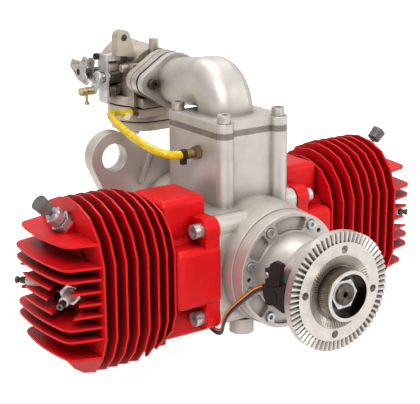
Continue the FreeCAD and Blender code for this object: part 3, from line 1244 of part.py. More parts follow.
def make_sensor():
    """Hall sensor beside the magnet drum, its screws, lead, clips and plug."""
    inner = -d.drum_radius - d.sensor_gap
    case = polygon([(inner, y, z) for y, z in SENSOR_CASE], (-5.5, 0, 0))
    boss = Part.makeCylinder(4, 1, Vector(inner - 5.5, 29, -4.5), Vector(-1, 0, 0))
    clamp = polygon([(inner, y, z) for y, z in SENSOR_CLAMP], (-4, 0, 0))
    head_face = SENSOR_SCREWS[0][2]
    foot = Part.makeBox(-head_face - 26, 5.5, 32, Vector(head_face, d.nose_tip + 1, -14))
    nose = Part.makeCone(d.nose_tip_radius, d.nose_foot_radius, d.cover_face - d.nose_tip,
                         Vector(0, d.nose_tip, 0), Vector(0, 1, 0))
    holes = [Part.makeCylinder(d.sensor_screw_radius, 30, Vector(head - 1, y, z), Vector(1, 0, 0))
             for y, z, head in SENSOR_SCREWS]
    start = Vector(*LEAD_ROUTE[0])
    away = (Vector(*LEAD_ROUTE[1]) - start).normalize()
    entry = Part.makeCylinder(d.lead_radius + d.lead_entry_gap, 8, start, away)
    solid = case.multiFuse([boss, clamp, foot]).cut(nose.multiFuse([entry, *holes]))
    node("sensor_holder", formed(solid.removeSplitter()))
    screws = [cap_screw("sensor_screw_radius", 1.8, -head - 28, (head, y, z), "-X") for y, z, head in SENSOR_SCREWS]
    node("sensor_screws", group(*screws))
    node("sensor_lead", formed(tube(LEAD_ROUTE, d.lead_radius)))
    clips = []
    for y in (148.5, 168.0):
        at = Vector(LEAD_LINE, y, LEAD_DROP)
        ring = Part.makeCylinder(d.lead_radius + d.clip_wall, 5, at, Vector(0, 1, 0))
        tab = Part.makeBox(12, 5, 1.5, Vector(at.x + d.lead_radius, y, -d.pad_half - 1.5))
        rivet = Part.makeCylinder(2.2, 2, Vector(at.x + d.lead_radius + 8, y + 2.5, -d.pad_half - 3.2))
        bore = Part.makeCylinder(d.lead_radius + 0.35, 9, at - Vector(0, 1, 0), Vector(0, 1, 0))
        clips.append(formed(ring.multiFuse([tab, rivet]).cut(bore)))
    node("lead_clips", group(*clips))
    plug = Part.makeBox(16, 18, 12, Vector(-8, LEAD_ROUTE[-1][1] + 0.4, -d.case_rear_radius - 12.3))
    plug.rotate(Vector(), Vector(0, 1, 0), 45)
    node("sensor_connector", formed(plug))


make_hub()
make_crank()
make_bearings()
make_rods_and_pistons()
make_crankcase()
make_front_cover()
make_rear_mount()
gaskets = make_cylinders()
make_plugs_and_valves()
make_reeds()
make_elbow()
make_carburettor(gaskets)
node("gaskets", group(*gaskets))
make_controls()
make_pulse_line()
make_sensor()

doc.recompute()
bad = [o.Label for o in doc.Objects if "Invalid" in o.State or "Error" in o.State]
if bad:
    raise RuntimeError(f"objects failed: {bad}")
os.makedirs("parts", exist_ok=True)
for piece in NODES:
    shape = piece.Shape
    if shape.isNull() or not shape.isValid():
        raise RuntimeError(f"{piece.Label} has no valid shape")
    shape.exportStep(f"parts/{piece.Label}.step")
    print(piece.Label, len(shape.Solids), round(shape.Volume))
print(len(NODES), "nodes")
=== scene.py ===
"""Looks of the boxer twin two-stroke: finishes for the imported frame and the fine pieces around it."""

import json
from math import pi

import bmesh
import bpy
import numpy as np
from mathutils import Matrix, Vector


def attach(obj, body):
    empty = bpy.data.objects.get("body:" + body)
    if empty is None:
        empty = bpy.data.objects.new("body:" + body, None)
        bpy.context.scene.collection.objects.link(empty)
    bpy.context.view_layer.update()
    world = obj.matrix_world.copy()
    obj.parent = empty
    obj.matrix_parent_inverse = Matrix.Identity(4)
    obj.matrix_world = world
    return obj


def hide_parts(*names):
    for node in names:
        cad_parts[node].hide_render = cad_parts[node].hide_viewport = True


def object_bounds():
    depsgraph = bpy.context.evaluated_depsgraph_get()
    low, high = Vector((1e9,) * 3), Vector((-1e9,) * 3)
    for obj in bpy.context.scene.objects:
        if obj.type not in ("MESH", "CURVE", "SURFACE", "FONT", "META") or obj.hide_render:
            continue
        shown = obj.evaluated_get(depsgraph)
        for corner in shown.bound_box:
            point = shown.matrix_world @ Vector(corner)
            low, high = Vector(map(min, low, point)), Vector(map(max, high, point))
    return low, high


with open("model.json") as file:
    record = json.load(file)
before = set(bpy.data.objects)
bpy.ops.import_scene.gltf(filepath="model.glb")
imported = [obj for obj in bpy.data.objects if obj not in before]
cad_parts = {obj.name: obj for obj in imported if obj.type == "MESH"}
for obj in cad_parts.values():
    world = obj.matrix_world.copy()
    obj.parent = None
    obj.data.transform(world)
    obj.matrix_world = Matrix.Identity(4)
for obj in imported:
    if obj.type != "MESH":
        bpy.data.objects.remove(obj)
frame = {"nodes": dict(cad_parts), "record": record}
cad_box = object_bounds()
nodes = frame["nodes"]
MM = 0.001  # metres in a millimetre
SHARP = 0.6  # an edge that turns by more radians than this stays sharp
ALONG_X, TO_LEFT, DOWN = (1, 0, 0), (-1, 0, 0), (0, 0, -1)

# Camera: its place and directions come from a fit to the photograph.
CAMERA_PLACE = Vector((-623.4, -724.0, 353.5)) * MM
CAMERA_BACK = Vector((-0.5410, -0.7940, 0.2780)).normalized()
CAMERA_RIGHT = Vector((0.8250, -0.5650, -0.0060))
FOCAL_PIXELS = 1214.27
PHOTO_WIDTH = 420
SENSOR_WIDTH = 36.0

# Room: brightness of the surroundings, where 1 is white.
GLOSS_LOW, GLOSS_HIGH = 0.25, 0.95  # what gloss sees low down and overhead
FLOOR_GLOW = 0.8  # the floor's own light to the camera, under which its shadow still shows
AMBIENT = 0.45  # soft light on dull surfaces
PAPER = "#f2f2f2"

# Shading: most values of a noise lie between these two, and corners and edges take this many samples.
NOISE_LOW, NOISE_HIGH = 0.3, 0.7
SAMPLES = 6
WAVE_TURN = 20  # a wave texture of scale 1 turns through this many radians in a metre
# the dark brown of painted shade in the hollows of turned metal
HOLLOW_SHADE = "#4a443e"


def linear(colour):
    """Linear values of an sRGB hex colour."""
    values = np.array([int(colour[i:i + 2], 16) for i in (1, 3, 5)]) / 255
    low, high = values / 12.92, ((values + 0.055) / 1.055) ** 2.4
    return (*np.where(values <= 0.04045, low, high), 1.0)


def make_camera():
    """A camera at the photograph's place, turned to its right and back directions."""
    data = bpy.data.cameras.new("camera")
    data.sensor_width = SENSOR_WIDTH
    data.lens = FOCAL_PIXELS * SENSOR_WIDTH / PHOTO_WIDTH
    data.clip_start, data.clip_end = 0.05, 50
    camera = bpy.data.objects.new("camera", data)
    right = (CAMERA_RIGHT - CAMERA_BACK * CAMERA_RIGHT.dot(CAMERA_BACK)).normalized()
    up = CAMERA_BACK.cross(right)
    turn = Matrix((right, up, CAMERA_BACK)).transposed()
    camera.matrix_world = Matrix.Translation(CAMERA_PLACE) @ turn.to_4x4()
    bpy.context.scene.collection.objects.link(camera)
    bpy.context.scene.camera = camera


def make_lamp(name, place, size, watts, aim=(0, 0.16, 0.02)):
    """A square soft box that faces the engine."""
    data = bpy.data.lights.new(name, "AREA")
    data.energy, data.size = watts, size
    lamp = bpy.data.objects.new(name, data)
    lamp.location = place
    lamp.rotation_euler = (Vector(place) - Vector(aim)).to_track_quat("Z", "Y").to_euler()
    bpy.context.scene.collection.objects.link(lamp)


def add(tree, kind, inputs=None, **settings):
    """Adds a node with its settings; an input is a constant or the socket that it is linked from."""
    node = tree.nodes.new(kind)
    for name, value in settings.items():
        setattr(node, name, value)
    for name, value in (inputs or {}).items():
        if isinstance(value, bpy.types.NodeSocket):
            tree.links.new(value, node.inputs[name])
        else:
            node.inputs[name].default_value = value
    return node


# Finishes: lengths are in metres, written as millimetres times MM.
def new_material(name):
    """An empty material with a shader, and the object's own coordinates in metres."""
    material = bpy.data.materials.new(name)
    material.use_nodes = True
    tree = material.node_tree
    tree.nodes.clear()
    shader = add(tree, "ShaderNodeBsdfPrincipled")
    add(tree, "ShaderNodeOutputMaterial", {"Surface": shader.outputs[0]})
    return material, tree, shader, add(tree, "ShaderNodeTexCoord").outputs["Object"]


def noise(tree, place, size, detail=3.0):
    """Noise whose grains are about size metres wide."""
    return add(tree, "ShaderNodeTexNoise", {"Vector": place, "Scale": 1 / size, "Detail": detail}).outputs[0]


def blend(tree, factor, low, high, start=NOISE_LOW, end=NOISE_HIGH):
    """A colour that goes from low to high as factor goes from start to end."""
    share = add(tree, "ShaderNodeMapRange", {"Value": factor, "From Min": start, "From Max": end})
    mixed = add(tree, "ShaderNodeMix", {"Factor": share.outputs[0]}, data_type="RGBA")
    for socket, value in ((mixed.inputs[6], low), (mixed.inputs[7], high)):
        if isinstance(value, bpy.types.NodeSocket):
            tree.links.new(value, socket)
        else:
            socket.default_value = linear(value)
    return mixed.outputs[2]


def spread(tree, factor, low, high):
    """A number that goes from low to high over the usual values of a noise."""
    return add(tree, "ShaderNodeMapRange", {
        "Value": factor, "From Min": NOISE_LOW, "From Max": NOISE_HIGH,
        "To Min": low, "To Max": high}).outputs[0]


def hollows(tree, distance):
    """0 deep in a corner or recess that is distance metres across, and 1 on open faces."""
    return add(tree, "ShaderNodeAmbientOcclusion", {"Distance": distance}, samples=SAMPLES).outputs["AO"]


def relief(tree, shader, height, depth, edge):
    """Turns the surface's normal: edges are rounded to edge, then height gives bumps of depth."""
    rounded = add(tree, "ShaderNodeBevel", {"Radius": edge}, samples=SAMPLES)
    bump = add(tree, "ShaderNodeBump", {"Height": height, "Distance": depth, "Normal": rounded.outputs[0]})
    tree.links.new(bump.outputs[0], shader.inputs["Normal"])


def cast_metal(name, light, dark, crevice_shade, grain, edge, roughness, metallic=1.0):
    """Bead blasted casting: dull grains, cloudy tone, and painted shade that darkens the corners."""
    material, tree, shader, place = new_material(name)
    clouds = blend(tree, noise(tree, place, size=14 * MM, detail=4), dark, light)
    # painted shade: the corners darken towards the given shade colour
    corner_shade = blend(tree, hollows(tree, 14 * MM), crevice_shade, clouds, start=0.2, end=0.9)
    tree.links.new(corner_shade, shader.inputs["Base Color"])
    shader.inputs["Metallic"].default_value = metallic
    fine = noise(tree, place, grain, detail=5)
    tree.links.new(spread(tree, fine, roughness - 0.06, roughness + 0.08), shader.inputs["Roughness"])
    relief(tree, shader, fine, depth=0.16 * grain, edge=edge)
    return material


def turned_metal(name, light, dark, ring, roughness, edge=0.25 * MM, metallic=1.0):
    """Lathe turned metal: fine rings about the crank axis, slightly cloudy reflections, and painted shade in
    its hollows.
    """
    material, tree, shader, place = new_material(name)
    clouds = blend(tree, noise(tree, place, size=9 * MM), dark, light)
    # painted shade: hollows and the valleys between ridges darken to a fixed dark brown
    valley_shade = blend(tree, hollows(tree, 4 * MM), HOLLOW_SHADE, clouds, start=0.2, end=0.85)
    tree.links.new(valley_shade, shader.inputs["Base Color"])
    shader.inputs["Metallic"].default_value = metallic
    rings = add(tree, "ShaderNodeTexWave", {
        "Vector": place, "Scale": 2 * pi / (WAVE_TURN * ring), "Distortion": 0.4, "Detail": 2.0,
    }, wave_type="RINGS", rings_direction="Y").outputs[1]
    tree.links.new(spread(tree, rings, roughness - 0.05, roughness + 0.08), shader.inputs["Roughness"])
    relief(tree, shader, rings, depth=0.03 * ring, edge=edge)
    return material


def plain_metal(name, light, dark, roughness, edge=0.2 * MM, scratch=0.6 * MM, metallic=1.0):
    """Plated or ground metal: smooth, with faint handling marks, and painted shade that darkens the corners.
    """
    material, tree, shader, place = new_material(name)
    clouds = blend(tree, noise(tree, place, size=5 * MM), dark, light)
    # painted shade: the corners darken to the dark tone
    recess_shade = blend(tree, hollows(tree, 2.5 * MM), dark, clouds, start=0.3, end=0.8)
    tree.links.new(recess_shade, shader.inputs["Base Color"])
    shader.inputs["Metallic"].default_value = metallic
    marks = noise(tree, place, scratch, detail=2)
    tree.links.new(spread(tree, marks, roughness - 0.03, roughness + 0.05), shader.inputs["Roughness"])
    relief(tree, shader, marks, depth=0.005 * scratch, edge=edge)
    return material


def coated(name, light, dark, crevice_shade, grain, roughness, edge, depth, reach=6 * MM, start=0.1, end=0.75,
           gloss=0.5):
    """Paint or plastic over a grained surface; corners are darker with painted shade, and gloss is the
    specular level.
    """
    material, tree, shader, place = new_material(name)
    shader.inputs["Specular IOR Level"].default_value = gloss
    clouds = blend(tree, noise(tree, place, size=11 * MM), dark, light)
    # painted shade: within reach, corners darken towards the given shade colour
    shade = blend(tree, hollows(tree, reach), crevice_shade, clouds, start, end)
    tree.links.new(shade, shader.inputs["Base Color"])
    fine = noise(tree, place, grain, detail=4)
    tree.links.new(spread(tree, fine, roughness - 0.06, roughness + 0.08), shader.inputs["Roughness"])
    relief(tree, shader, fine, depth, edge)
    return material


def clear_vinyl(name, light, deep):
    """Clear tinted tube: part of the light goes through the wall, so that the bore shows as a darker line."""
    material, tree, shader, place = new_material(name)
    clouds = blend(tree, noise(tree, place, size=6 * MM), deep, light)
    tree.links.new(clouds, shader.inputs["Base Color"])
    shader.inputs["Transmission Weight"].default_value = 0.25
    shader.inputs["Roughness"].default_value = 0.12
    return material


# Each finish below darkens its corners and hollows with painted shade: the third colour given to cast_metal
# and to coated is the colour of that shade, turned_metal paints a fixed dark brown, and plain_metal its dark
# tone.
FINISHES = {
    # sand cast aluminium, blasted: pale warm grey, nearly matt, with a faint metal sheen
    "cast": cast_metal(
        "cast_aluminium", "#ccc6bf", "#c0b9b1", "#6b635a",
        grain=0.8 * MM, edge=1.6 * MM, roughness=0.42, metallic=0.62),
    # turned aluminium: brighter, with fine lathe rings
    "turned": turned_metal(
        "turned_aluminium", "#d0cac4", "#c3bcb5",
        ring=0.7 * MM, roughness=0.3, metallic=0.8),
    # milled aluminium: the brightest ridges, with painted shade between them
    "serrated": turned_metal(
        "milled_aluminium", "#e2d9cf", "#c4bab0",
        ring=0.9 * MM, roughness=0.3, metallic=0.7),
    # polished aluminium: mirrors the ridges beside it
    "pilot": turned_metal("polished_aluminium", "#b5aca2", "#8d847b", ring=0.5 * MM, roughness=0.14),
    # nearly black turned metal with a soft shine, as painted shade for the hub's bore and the valleys between
    # its ridges
    "oiled_bore": turned_metal("oiled_bore", "#5a4f47", "#2e2722", ring=0.5 * MM, roughness=0.2),
    # powder coat over cast fins: strong red, satin, faint orange peel, and painted shade of dark maroon deep
    # between the fins
    "red_coat": coated(
        "red_powder_coat", "#da0d14", "#cc0a11", "#380003",
        grain=0.9 * MM, roughness=0.36, edge=0.7 * MM, depth=0.05 * MM, reach=24 * MM, start=0.14, end=0.58,
        gloss=0.2),
    # zinc die casting: dull brownish grey
    "carb_cast": cast_metal(
        "die_cast_zinc", "#c8bcad", "#b6a99a", "#54483e",
        grain=0.6 * MM, edge=0.5 * MM, roughness=0.42, metallic=0.6),
    # the same with a film of oil: dark brown
    "carb_dark": cast_metal(
        "oiled_zinc", "#6e6156", "#584d44", "#241d18",
        grain=0.6 * MM, edge=0.4 * MM, roughness=0.42, metallic=0.6),
    # ground aluminium: a clean pale band
    "spacer": cast_metal(
        "ground_aluminium", "#c9c5c1", "#bcb8b3", "#8a837b",
        grain=0.4 * MM, edge=0.3 * MM, roughness=0.3, metallic=0.8),
    # oxidised aluminium: a mid-grey band under the elbow
    "reed_band": cast_metal(
        "oxidised_aluminium", "#8f877e", "#7d756c", "#4d463f",
        grain=0.5 * MM, edge=0.3 * MM, roughness=0.42, metallic=0.6),
    # ground steel: grey and even
    "forged": plain_metal("ground_steel", "#8a8681", "#6f6b66", roughness=0.3),
    # zinc plate: bright silver with soft reflections
    "zinc": plain_metal("bright_zinc_plate", "#d8d8d8", "#a2a3a4", roughness=0.27, metallic=0.75),
    # plated sheet: the palest metal of the controls, nearly white
    "plated_sheet": plain_metal("plated_sheet", "#e2e1df", "#c6c4c1", roughness=0.36, metallic=0.45),
    # nickel plate: warm silver
    "nickel": plain_metal("nickel_plated_steel", "#cfc7bf", "#9a9188", roughness=0.32, metallic=0.75),
    # oiled spring steel: dark brown-grey
    "dark_steel": plain_metal("oiled_spring_steel", "#6f675f", "#3a3430", roughness=0.34),
    # turned piston alloy: even light grey
    "piston_alloy": turned_metal("piston_alloy", "#c8c8c8", "#b4b4b4", ring=0.5 * MM, roughness=0.3),
    # aged brass: dull grey-brown
    "brass": plain_metal("dull_brass", "#a08c68", "#6c5a3c", roughness=0.34),
    # washed brass: pale straw
    "pale_brass": plain_metal("washed_brass", "#d8c6a2", "#ab9468", roughness=0.34, metallic=0.7),
    # moulded nylon: near black and matt
    "black": coated(
        "black_nylon", "#2b2726", "#221f1e", "#0b0a0a",
        grain=0.5 * MM, roughness=0.55, edge=0.5 * MM, depth=0.02 * MM, gloss=0.2),
    # pressed rubber: black and dull
    "gasket": coated(
        "gasket_rubber", "#26221f", "#1c1917", "#0a0908",
        grain=0.4 * MM, roughness=0.75, edge=0.1 * MM, depth=0.02 * MM),
    # glazed ceramic: off-white and shiny
    "ceramic": coated(
        "glazed_ceramic", "#d3cec6", "#c3beb6", "#77716a",
        grain=3 * MM, roughness=0.2, edge=0.4 * MM, depth=0.01 * MM),
    # natural nylon: creamy and a little shiny
    "nylon_white": coated(
        "natural_nylon", "#e9e2cd", "#d9d0b6", "#97896a",
        grain=2 * MM, roughness=0.3, edge=0.2 * MM, depth=0.01 * MM),
    # the dark of a small hole
    "hole": coated(
        "shaded_hole", "#15110f", "#15110f", "#080707",
        grain=0.5 * MM, roughness=0.8, edge=0.02 * MM, depth=0.005 * MM),
    # blackened steel: dark grey, lighter on open faces, with painted shade in the corners
    "knob": coated(
        "blackened_steel", "#65615f", "#54504e", "#1d1a19",
        grain=0.6 * MM, roughness=0.4, edge=0.3 * MM, depth=0.01 * MM),
    # nickel plated magnets: bright
    "magnet": plain_metal("nickel_plate", "#b8b8ba", "#98989b", roughness=0.2),
    # fibre sheet: dark green-grey
    "reed": coated(
        "reed_sheet", "#33322d", "#272622", "#10100e",
        grain=0.4 * MM, roughness=0.4, edge=0.05 * MM, depth=0.01 * MM),
    # soft vinyl tube: clear strong yellow
    "hose": clear_vinyl("hose_yellow", "#ffe600", "#e6b800"),
}
# Nodes whose look differs from that of their record slot.
OWN_LOOK = {
    "reed_block": "reed_band", "carb_spacer": "spacer", "elbow_screws": "nickel",
    # crankshaft_front is darkened with dark steel as painted shade, so that the centre of the hub shows dark
    "carb_mount_screws": "dark_steel", "crankshaft_front": "dark_steel",
    "throttle_bracket": "plated_sheet", "throttle_lever": "plated_sheet", "cable_swivel": "pale_brass",
}
slot_of = {row["node"]: row["material_slot"] for row in frame["record"]["subparts"]}
for node_name, piece in nodes.items():
    piece.data.materials.clear()
    piece.data.materials.append(FINISHES[OWN_LOOK.get(node_name, slot_of[node_name])])


# Surfaces: every new piece is made of grids of points worked out with numpy. The last column of a grid
# joins its first.
def grid_faces(rows, columns):
    """Quads between neighbours of a grid of points."""
    row = np.arange(rows - 1)[:, None]
    column = np.arange(columns)[None, :]
    beside = (column + 1) % columns
    near, far = row * columns, (row + 1) * columns
    return np.stack((near + column, far + column, far + beside, near + beside), -1).reshape(-1, 4)


def make_piece(name, parts, finish, body, replaced=()):
    """One object from grids of points in metres. It rides a body, has the material slot of that name, and
    stands in for the replaced nodes."""
    points, faces, start = [], [], 0
    for grid in parts:
        rows, columns = grid.shape[:2]
        points.append(grid.reshape(-1, 3))
        faces.append(grid_faces(rows, columns) + start)
        start += rows * columns
    mesh = bpy.data.meshes.new(name)
    mesh.from_pydata(np.concatenate(points), [], np.concatenate(faces))
    shape = bmesh.new()
    shape.from_mesh(mesh)
    bmesh.ops.remove_doubles(shape, verts=shape.verts, dist=1e-7)
    bmesh.ops.recalc_face_normals(shape, faces=shape.faces)
    shape.to_mesh(mesh)
    shape.free()
    mesh.shade_smooth()
    mesh.set_sharp_from_angle(angle=SHARP)
    mesh.materials.append(finish)
    piece = bpy.data.objects.new(name, mesh)
    bpy.context.scene.collection.objects.link(piece)
    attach(piece, body)
    if replaced:
        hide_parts(*replaced)
    return piece


def across(way):
    """Two unit vectors square to a direction."""
    way = np.asarray(way, float)
    helper = np.array([0, 0, 1.0]) if abs(way[2]) < 0.9 * np.linalg.norm(way) else np.array([1.0, 0, 0])
    first = np.cross(way, helper)
    first /= np.linalg.norm(first)
    return first, np.cross(way / np.linalg.norm(way), first)


def lathe(profile, start, way, columns=48):
    """A profile of (distance along, radius) in mm turned about an axis, closed at both ends.
    The point at turn a and distance t is start + t way + r(t) (cos a, sin a)."""
    profile = np.array([(profile[0][0], 0), *profile, (profile[-1][0], 0)], float)
    turn = np.linspace(0, 2 * pi, columns, endpoint=False)[None, :, None]
    first, second = across(way)
    way = np.asarray(way, float) / np.linalg.norm(way)
    along, radius = profile[:, 0, None, None], profile[:, 1, None, None]
    grid = np.asarray(start) + along * way + radius * (np.cos(turn) * first + np.sin(turn) * second)
    return grid * MM


def coil(start, way, radius, wire, length, turns, sides=8, steps=14):
    """A spring: a circle of the wire's radius carried along a helix; at turn a the circle's centre is
    start + way length a / whole turn + radius (cos a, sin a)."""
    turn = np.linspace(0, 2 * pi * turns, int(turns * steps) + 1)[:, None, None]
    around = np.linspace(0, 2 * pi, sides, endpoint=False)[None, :, None]
    first, second = across(way)
    way = np.asarray(way, float) / np.linalg.norm(way)
    outward = np.cos(turn) * first + np.sin(turn) * second
    centre = np.asarray(start) + way * length * turn / (2 * pi * turns) + radius * outward
    grid = centre + wire * (np.cos(around) * outward + np.sin(around) * way)
    return grid * MM


def loop(points, steps=6):
    """A closed smooth outline through the points: a cubic whose slope at each point joins its neighbours."""
    points = np.asarray(points, float)
    share = np.linspace(0, 1, steps, endpoint=False)[:, None]
    before, after, beyond = np.roll(points, 1, 0), np.roll(points, -1, 0), np.roll(points, -2, 0)
    runs = []
    for p, q, r, t in zip(before, points, after, beyond):
        tilt, exit_tilt = (r - p) / 2, (t - q) / 2
        runs.append((2 * share**3 - 3 * share**2 + 1) * q + (share**3 - 2 * share**2 + share) * tilt
                    + (3 * share**2 - 2 * share**3) * r + (share**3 - share**2) * exit_tilt)
    return np.concatenate(runs)


def sheet_plate(outline, x, thickness, bevel=0.3, middle=None):
    """A flat plate square to X with bevelled edges: its (y, z) outline, drawn in to the middle on both
    faces."""
    outline = np.asarray(outline, float)
    middle = outline.mean(0) if middle is None else np.asarray(middle, float)
    reach = np.linalg.norm(outline - middle, axis=1, keepdims=True)
    inner = middle + (outline - middle) * (1 - bevel / reach)
    rings = [(0 * outline + middle, x), (inner, x), (outline, x + bevel), (outline, x + thickness - bevel),
             (inner, x + thickness), (0 * outline + middle, x + thickness)]
    grid = np.stack([np.column_stack((np.full(len(ring), place), ring)) for ring, place in rings])
    return grid * MM


def route_points(name, route, steps=12):
    """Points in mm along the smooth spline whose control points are the route."""
    data = bpy.data.curves.new(name, "CURVE")
    data.dimensions = "3D"
    spline = data.splines.new("NURBS")
    spline.points.add(len(route) - 1)
    for point, place in zip(spline.points, route):
        point.co = (*(value * MM for value in place), 1)
    spline.order_u = 3
    spline.use_endpoint_u = True
    spline.resolution_u = steps
    guide = bpy.data.objects.new(name, data)
    mesh = bpy.data.meshes.new_from_object(guide)
    line = np.array([tuple(vertex.co) for vertex in mesh.vertices]) / MM
    bpy.data.objects.remove(guide)
    bpy.data.curves.remove(data)
    bpy.data.meshes.remove(mesh)
    return line


def carry(line, outline, outward):
    """A cross-section carried along a line. Its first axis lies across the line and level with the surface
    that outward leaves, and its second axis is outward made square to the line."""
    way = np.gradient(line, axis=0)
    way /= np.linalg.norm(way, axis=1, keepdims=True)
    side = np.cross(way, outward)
    side /= np.linalg.norm(side, axis=1, keepdims=True)
    lift = np.cross(side, way)
    outline = np.asarray(outline, float)
    return line[:, None] + outline[None, :, :1] * side[:, None] + outline[None, :, 1:] * lift[:, None]


def circle(radius, centre=(0, 0), sides=20):
    """Points (cx + r cos a, cy + r sin a) of a flat circle."""
    turn = np.linspace(0, 2 * pi, sides, endpoint=False)
    return np.column_stack((centre[0] + radius * np.cos(turn), centre[1] + radius * np.sin(turn)))


def capped(grid):
    """The tube's grid with both ends drawn in to their middles."""
    first, last = grid[:1].mean(1, keepdims=True), grid[-1:].mean(1, keepdims=True)
    return np.concatenate((first + 0 * grid[:1], grid, last + 0 * grid[-1:]))


# Cords: the routes are the control points of the same tubes in part.py, in millimetres.
HOSE_ROUTE = [
    (-50.5, 152.6, 95.0), (-63.5, 152.6, 95.0), (-74.5, 158.0, 98.5), (-80.5, 169.5, 101.8),
    (-81.0, 189.0, 105.5), (-80.0, 215.0, 110.5), (-76.5, 239.5, 115.2), (-67.9, 257.5, 116.0),
    (-55.5, 271.5, 112.6), (-43.6, 277.0, 108.7), (-33.6, 277.0, 108.7),
]
LEAD_ROUTE = [
    (-46.2, 45.6, 0.3), (-46.6, 55.0, -4.0), (-52.0, 62.6, -13.0), (-57.4, 71.0, -22.5),
    (-59.0, 80.0, -32.5), (-57.8, 87.0, -43.0), (-55.6, 92.0, -53.0), (-54.0, 103.5, -57.2),
    (-51.8, 119.0, -55.6), (-50.2, 140.0, -54.2), (-50.1, 164.0, -54.2), (-49.9, 183.0, -54.2),
    (-49.6, 195.0, -53.8), (-48.5, 204.0, -51.4), (-48.4, 210.0, -51.2),
]
HOSE_RADIUS, HOSE_BORE, HOSE_OUTWARD, HOSE_SIDES = 3.8, 2.15, (-1, -0.3, 0.3), 24
# the second colour is the painted shade where the wires meet
WIRE_RADIUS, WIRE_CREVICE_SHADE, LEAD_OUTWARD = 0.62, "#1a1210", (-1, 0.15, 0.1)
# each wire's place across the ribbon, and its colour
WIRES = {
    "orange": (2.3, "#d8431a"), "yellow": (1.15, "#eca81c"), "navy": (0.0, "#3a3563"),
    "dark": (-1.15, "#2c2440"), "grey": (-2.3, "#4b4440"),
}


def make_hose():
    """The pulse hose: its outside and its bore, closed at both ends by flat rings."""
    line = route_points("hose_route", HOSE_ROUTE)
    wall = carry(line, circle(HOSE_RADIUS, sides=HOSE_SIDES), HOSE_OUTWARD)
    bore = carry(line, circle(HOSE_BORE, sides=HOSE_SIDES), HOSE_OUTWARD)
    closed = np.concatenate((wall, bore[::-1], wall[:1]))
    hose = make_piece("hose_wall", [closed * MM], FINISHES["hose"], "engine", ("pulse_hose",))


def make_lead():
    """Five vinyl wires moulded side by side: the ribbon lies with its flat side to the left."""
    line = route_points("lead_route", LEAD_ROUTE)
    wires = []
    for name, (shift, colour) in WIRES.items():
        grid = capped(carry(line, circle(WIRE_RADIUS, (shift, 0), sides=12), LEAD_OUTWARD))
        finish = coated(f"{name}_wire_vinyl", colour, colour, WIRE_CREVICE_SHADE, grain=0.5 * MM, roughness=0.35,
                        edge=0.05 * MM, depth=0.005 * MM)
        wires.append(make_piece(f"lead_{name}", [grid * MM], finish, "engine",
                                () if wires else ("sensor_lead",)))
    carry(line, [(WIRES["orange"][0], 0)], LEAD_OUTWARD)[:, 0] * MM


make_hose()
make_lead()


# Hub: radial ridges on the sunken cone inside the four holes, and the walls of the pilot. The profiles are
# (y, radius), and lie a film's thickness off the surfaces of the CAD.
CONE_LOW, CONE_HIGH, CONE_DEPTH = 23.0, 31.6, 3.0
RIDGES, RIDGE_HEIGHT, RIDGE_VALLEY, RIDGE_STEPS = 72, 1.9, 0.35, 8
RIM_DEPTH = 0.6  # how far the ridges' outer wall goes into the flange
# the dark cone under the ridges and the pilot's dark bore are painted shade
CONE_SHADE = [(CONE_DEPTH - 0.1, CONE_LOW), (-0.1, CONE_HIGH)]
PILOT_WALL = [(2.6, 22.05), (-11.2, 22.05)]
PILOT_BORE = [(-11.8, 18.95), (4.6, 18.95)]


def open_ring(profile, columns=96):
    """A surface of revolution about the crank axis with open ends: each row is a circle of the profile's
    radius at the profile's y."""
    turn = np.linspace(0, 2 * pi, columns, endpoint=False)[None, :]
    y, radius = (np.array(column, float)[:, None] for column in zip(*profile))
    return np.stack((radius * np.cos(turn), y + 0 * turn, radius * np.sin(turn)), -1) * MM


def ridge_ring():
    """The cone's depth falls evenly to 0 at its outer radius. A triangle wave rises over it, higher towards
    the outside, and its valleys stay just below the dark cone whose colour paints their shade."""
    radius = np.linspace(CONE_LOW, CONE_HIGH, 9)[:, None]
    turn = np.linspace(0, 2 * pi, RIDGES * RIDGE_STEPS, endpoint=False)[None, :]
    share = (CONE_HIGH - radius) / (CONE_HIGH - CONE_LOW)
    wave = 1 - 2 * np.abs((turn * RIDGES / (2 * pi)) % 1 - 0.5)
    wave = (1 + RIDGE_VALLEY) * wave - RIDGE_VALLEY
    y = CONE_DEPTH * share - RIDGE_HEIGHT * (0.5 + 0.5 * (1 - share)) * wave
    front = np.stack((radius * np.cos(turn), y, radius * np.sin(turn)), -1)
    rim = np.stack((radius[-1:] * np.cos(turn), 0 * turn + RIM_DEPTH, radius[-1:] * np.sin(turn)), -1)
    return np.concatenate((front, rim)) * MM


def make_hub():
    """Ridges, a dark cone between them as painted shade, and the pilot's two walls, the inner one dark as
    painted shade.
    """
    make_piece("hub_serrations", [ridge_ring()], FINISHES["serrated"], "hub")
    make_piece("hub_cone_shade", [open_ring(CONE_SHADE)], FINISHES["oiled_bore"], "hub")
    make_piece("pilot_wall", [open_ring(PILOT_WALL)], FINISHES["pilot"], "hub")
    make_piece("pilot_bore", [open_ring(PILOT_BORE)], FINISHES["oiled_bore"], "hub")


make_hub()

# Spark plugs: the ceramic sleeve, without print, and the terminal. Profiles are (along, radius).
CYLINDERS = {"left": (-1, 144.3), "right": (1, 179.7)}  # side of the crank and place along it
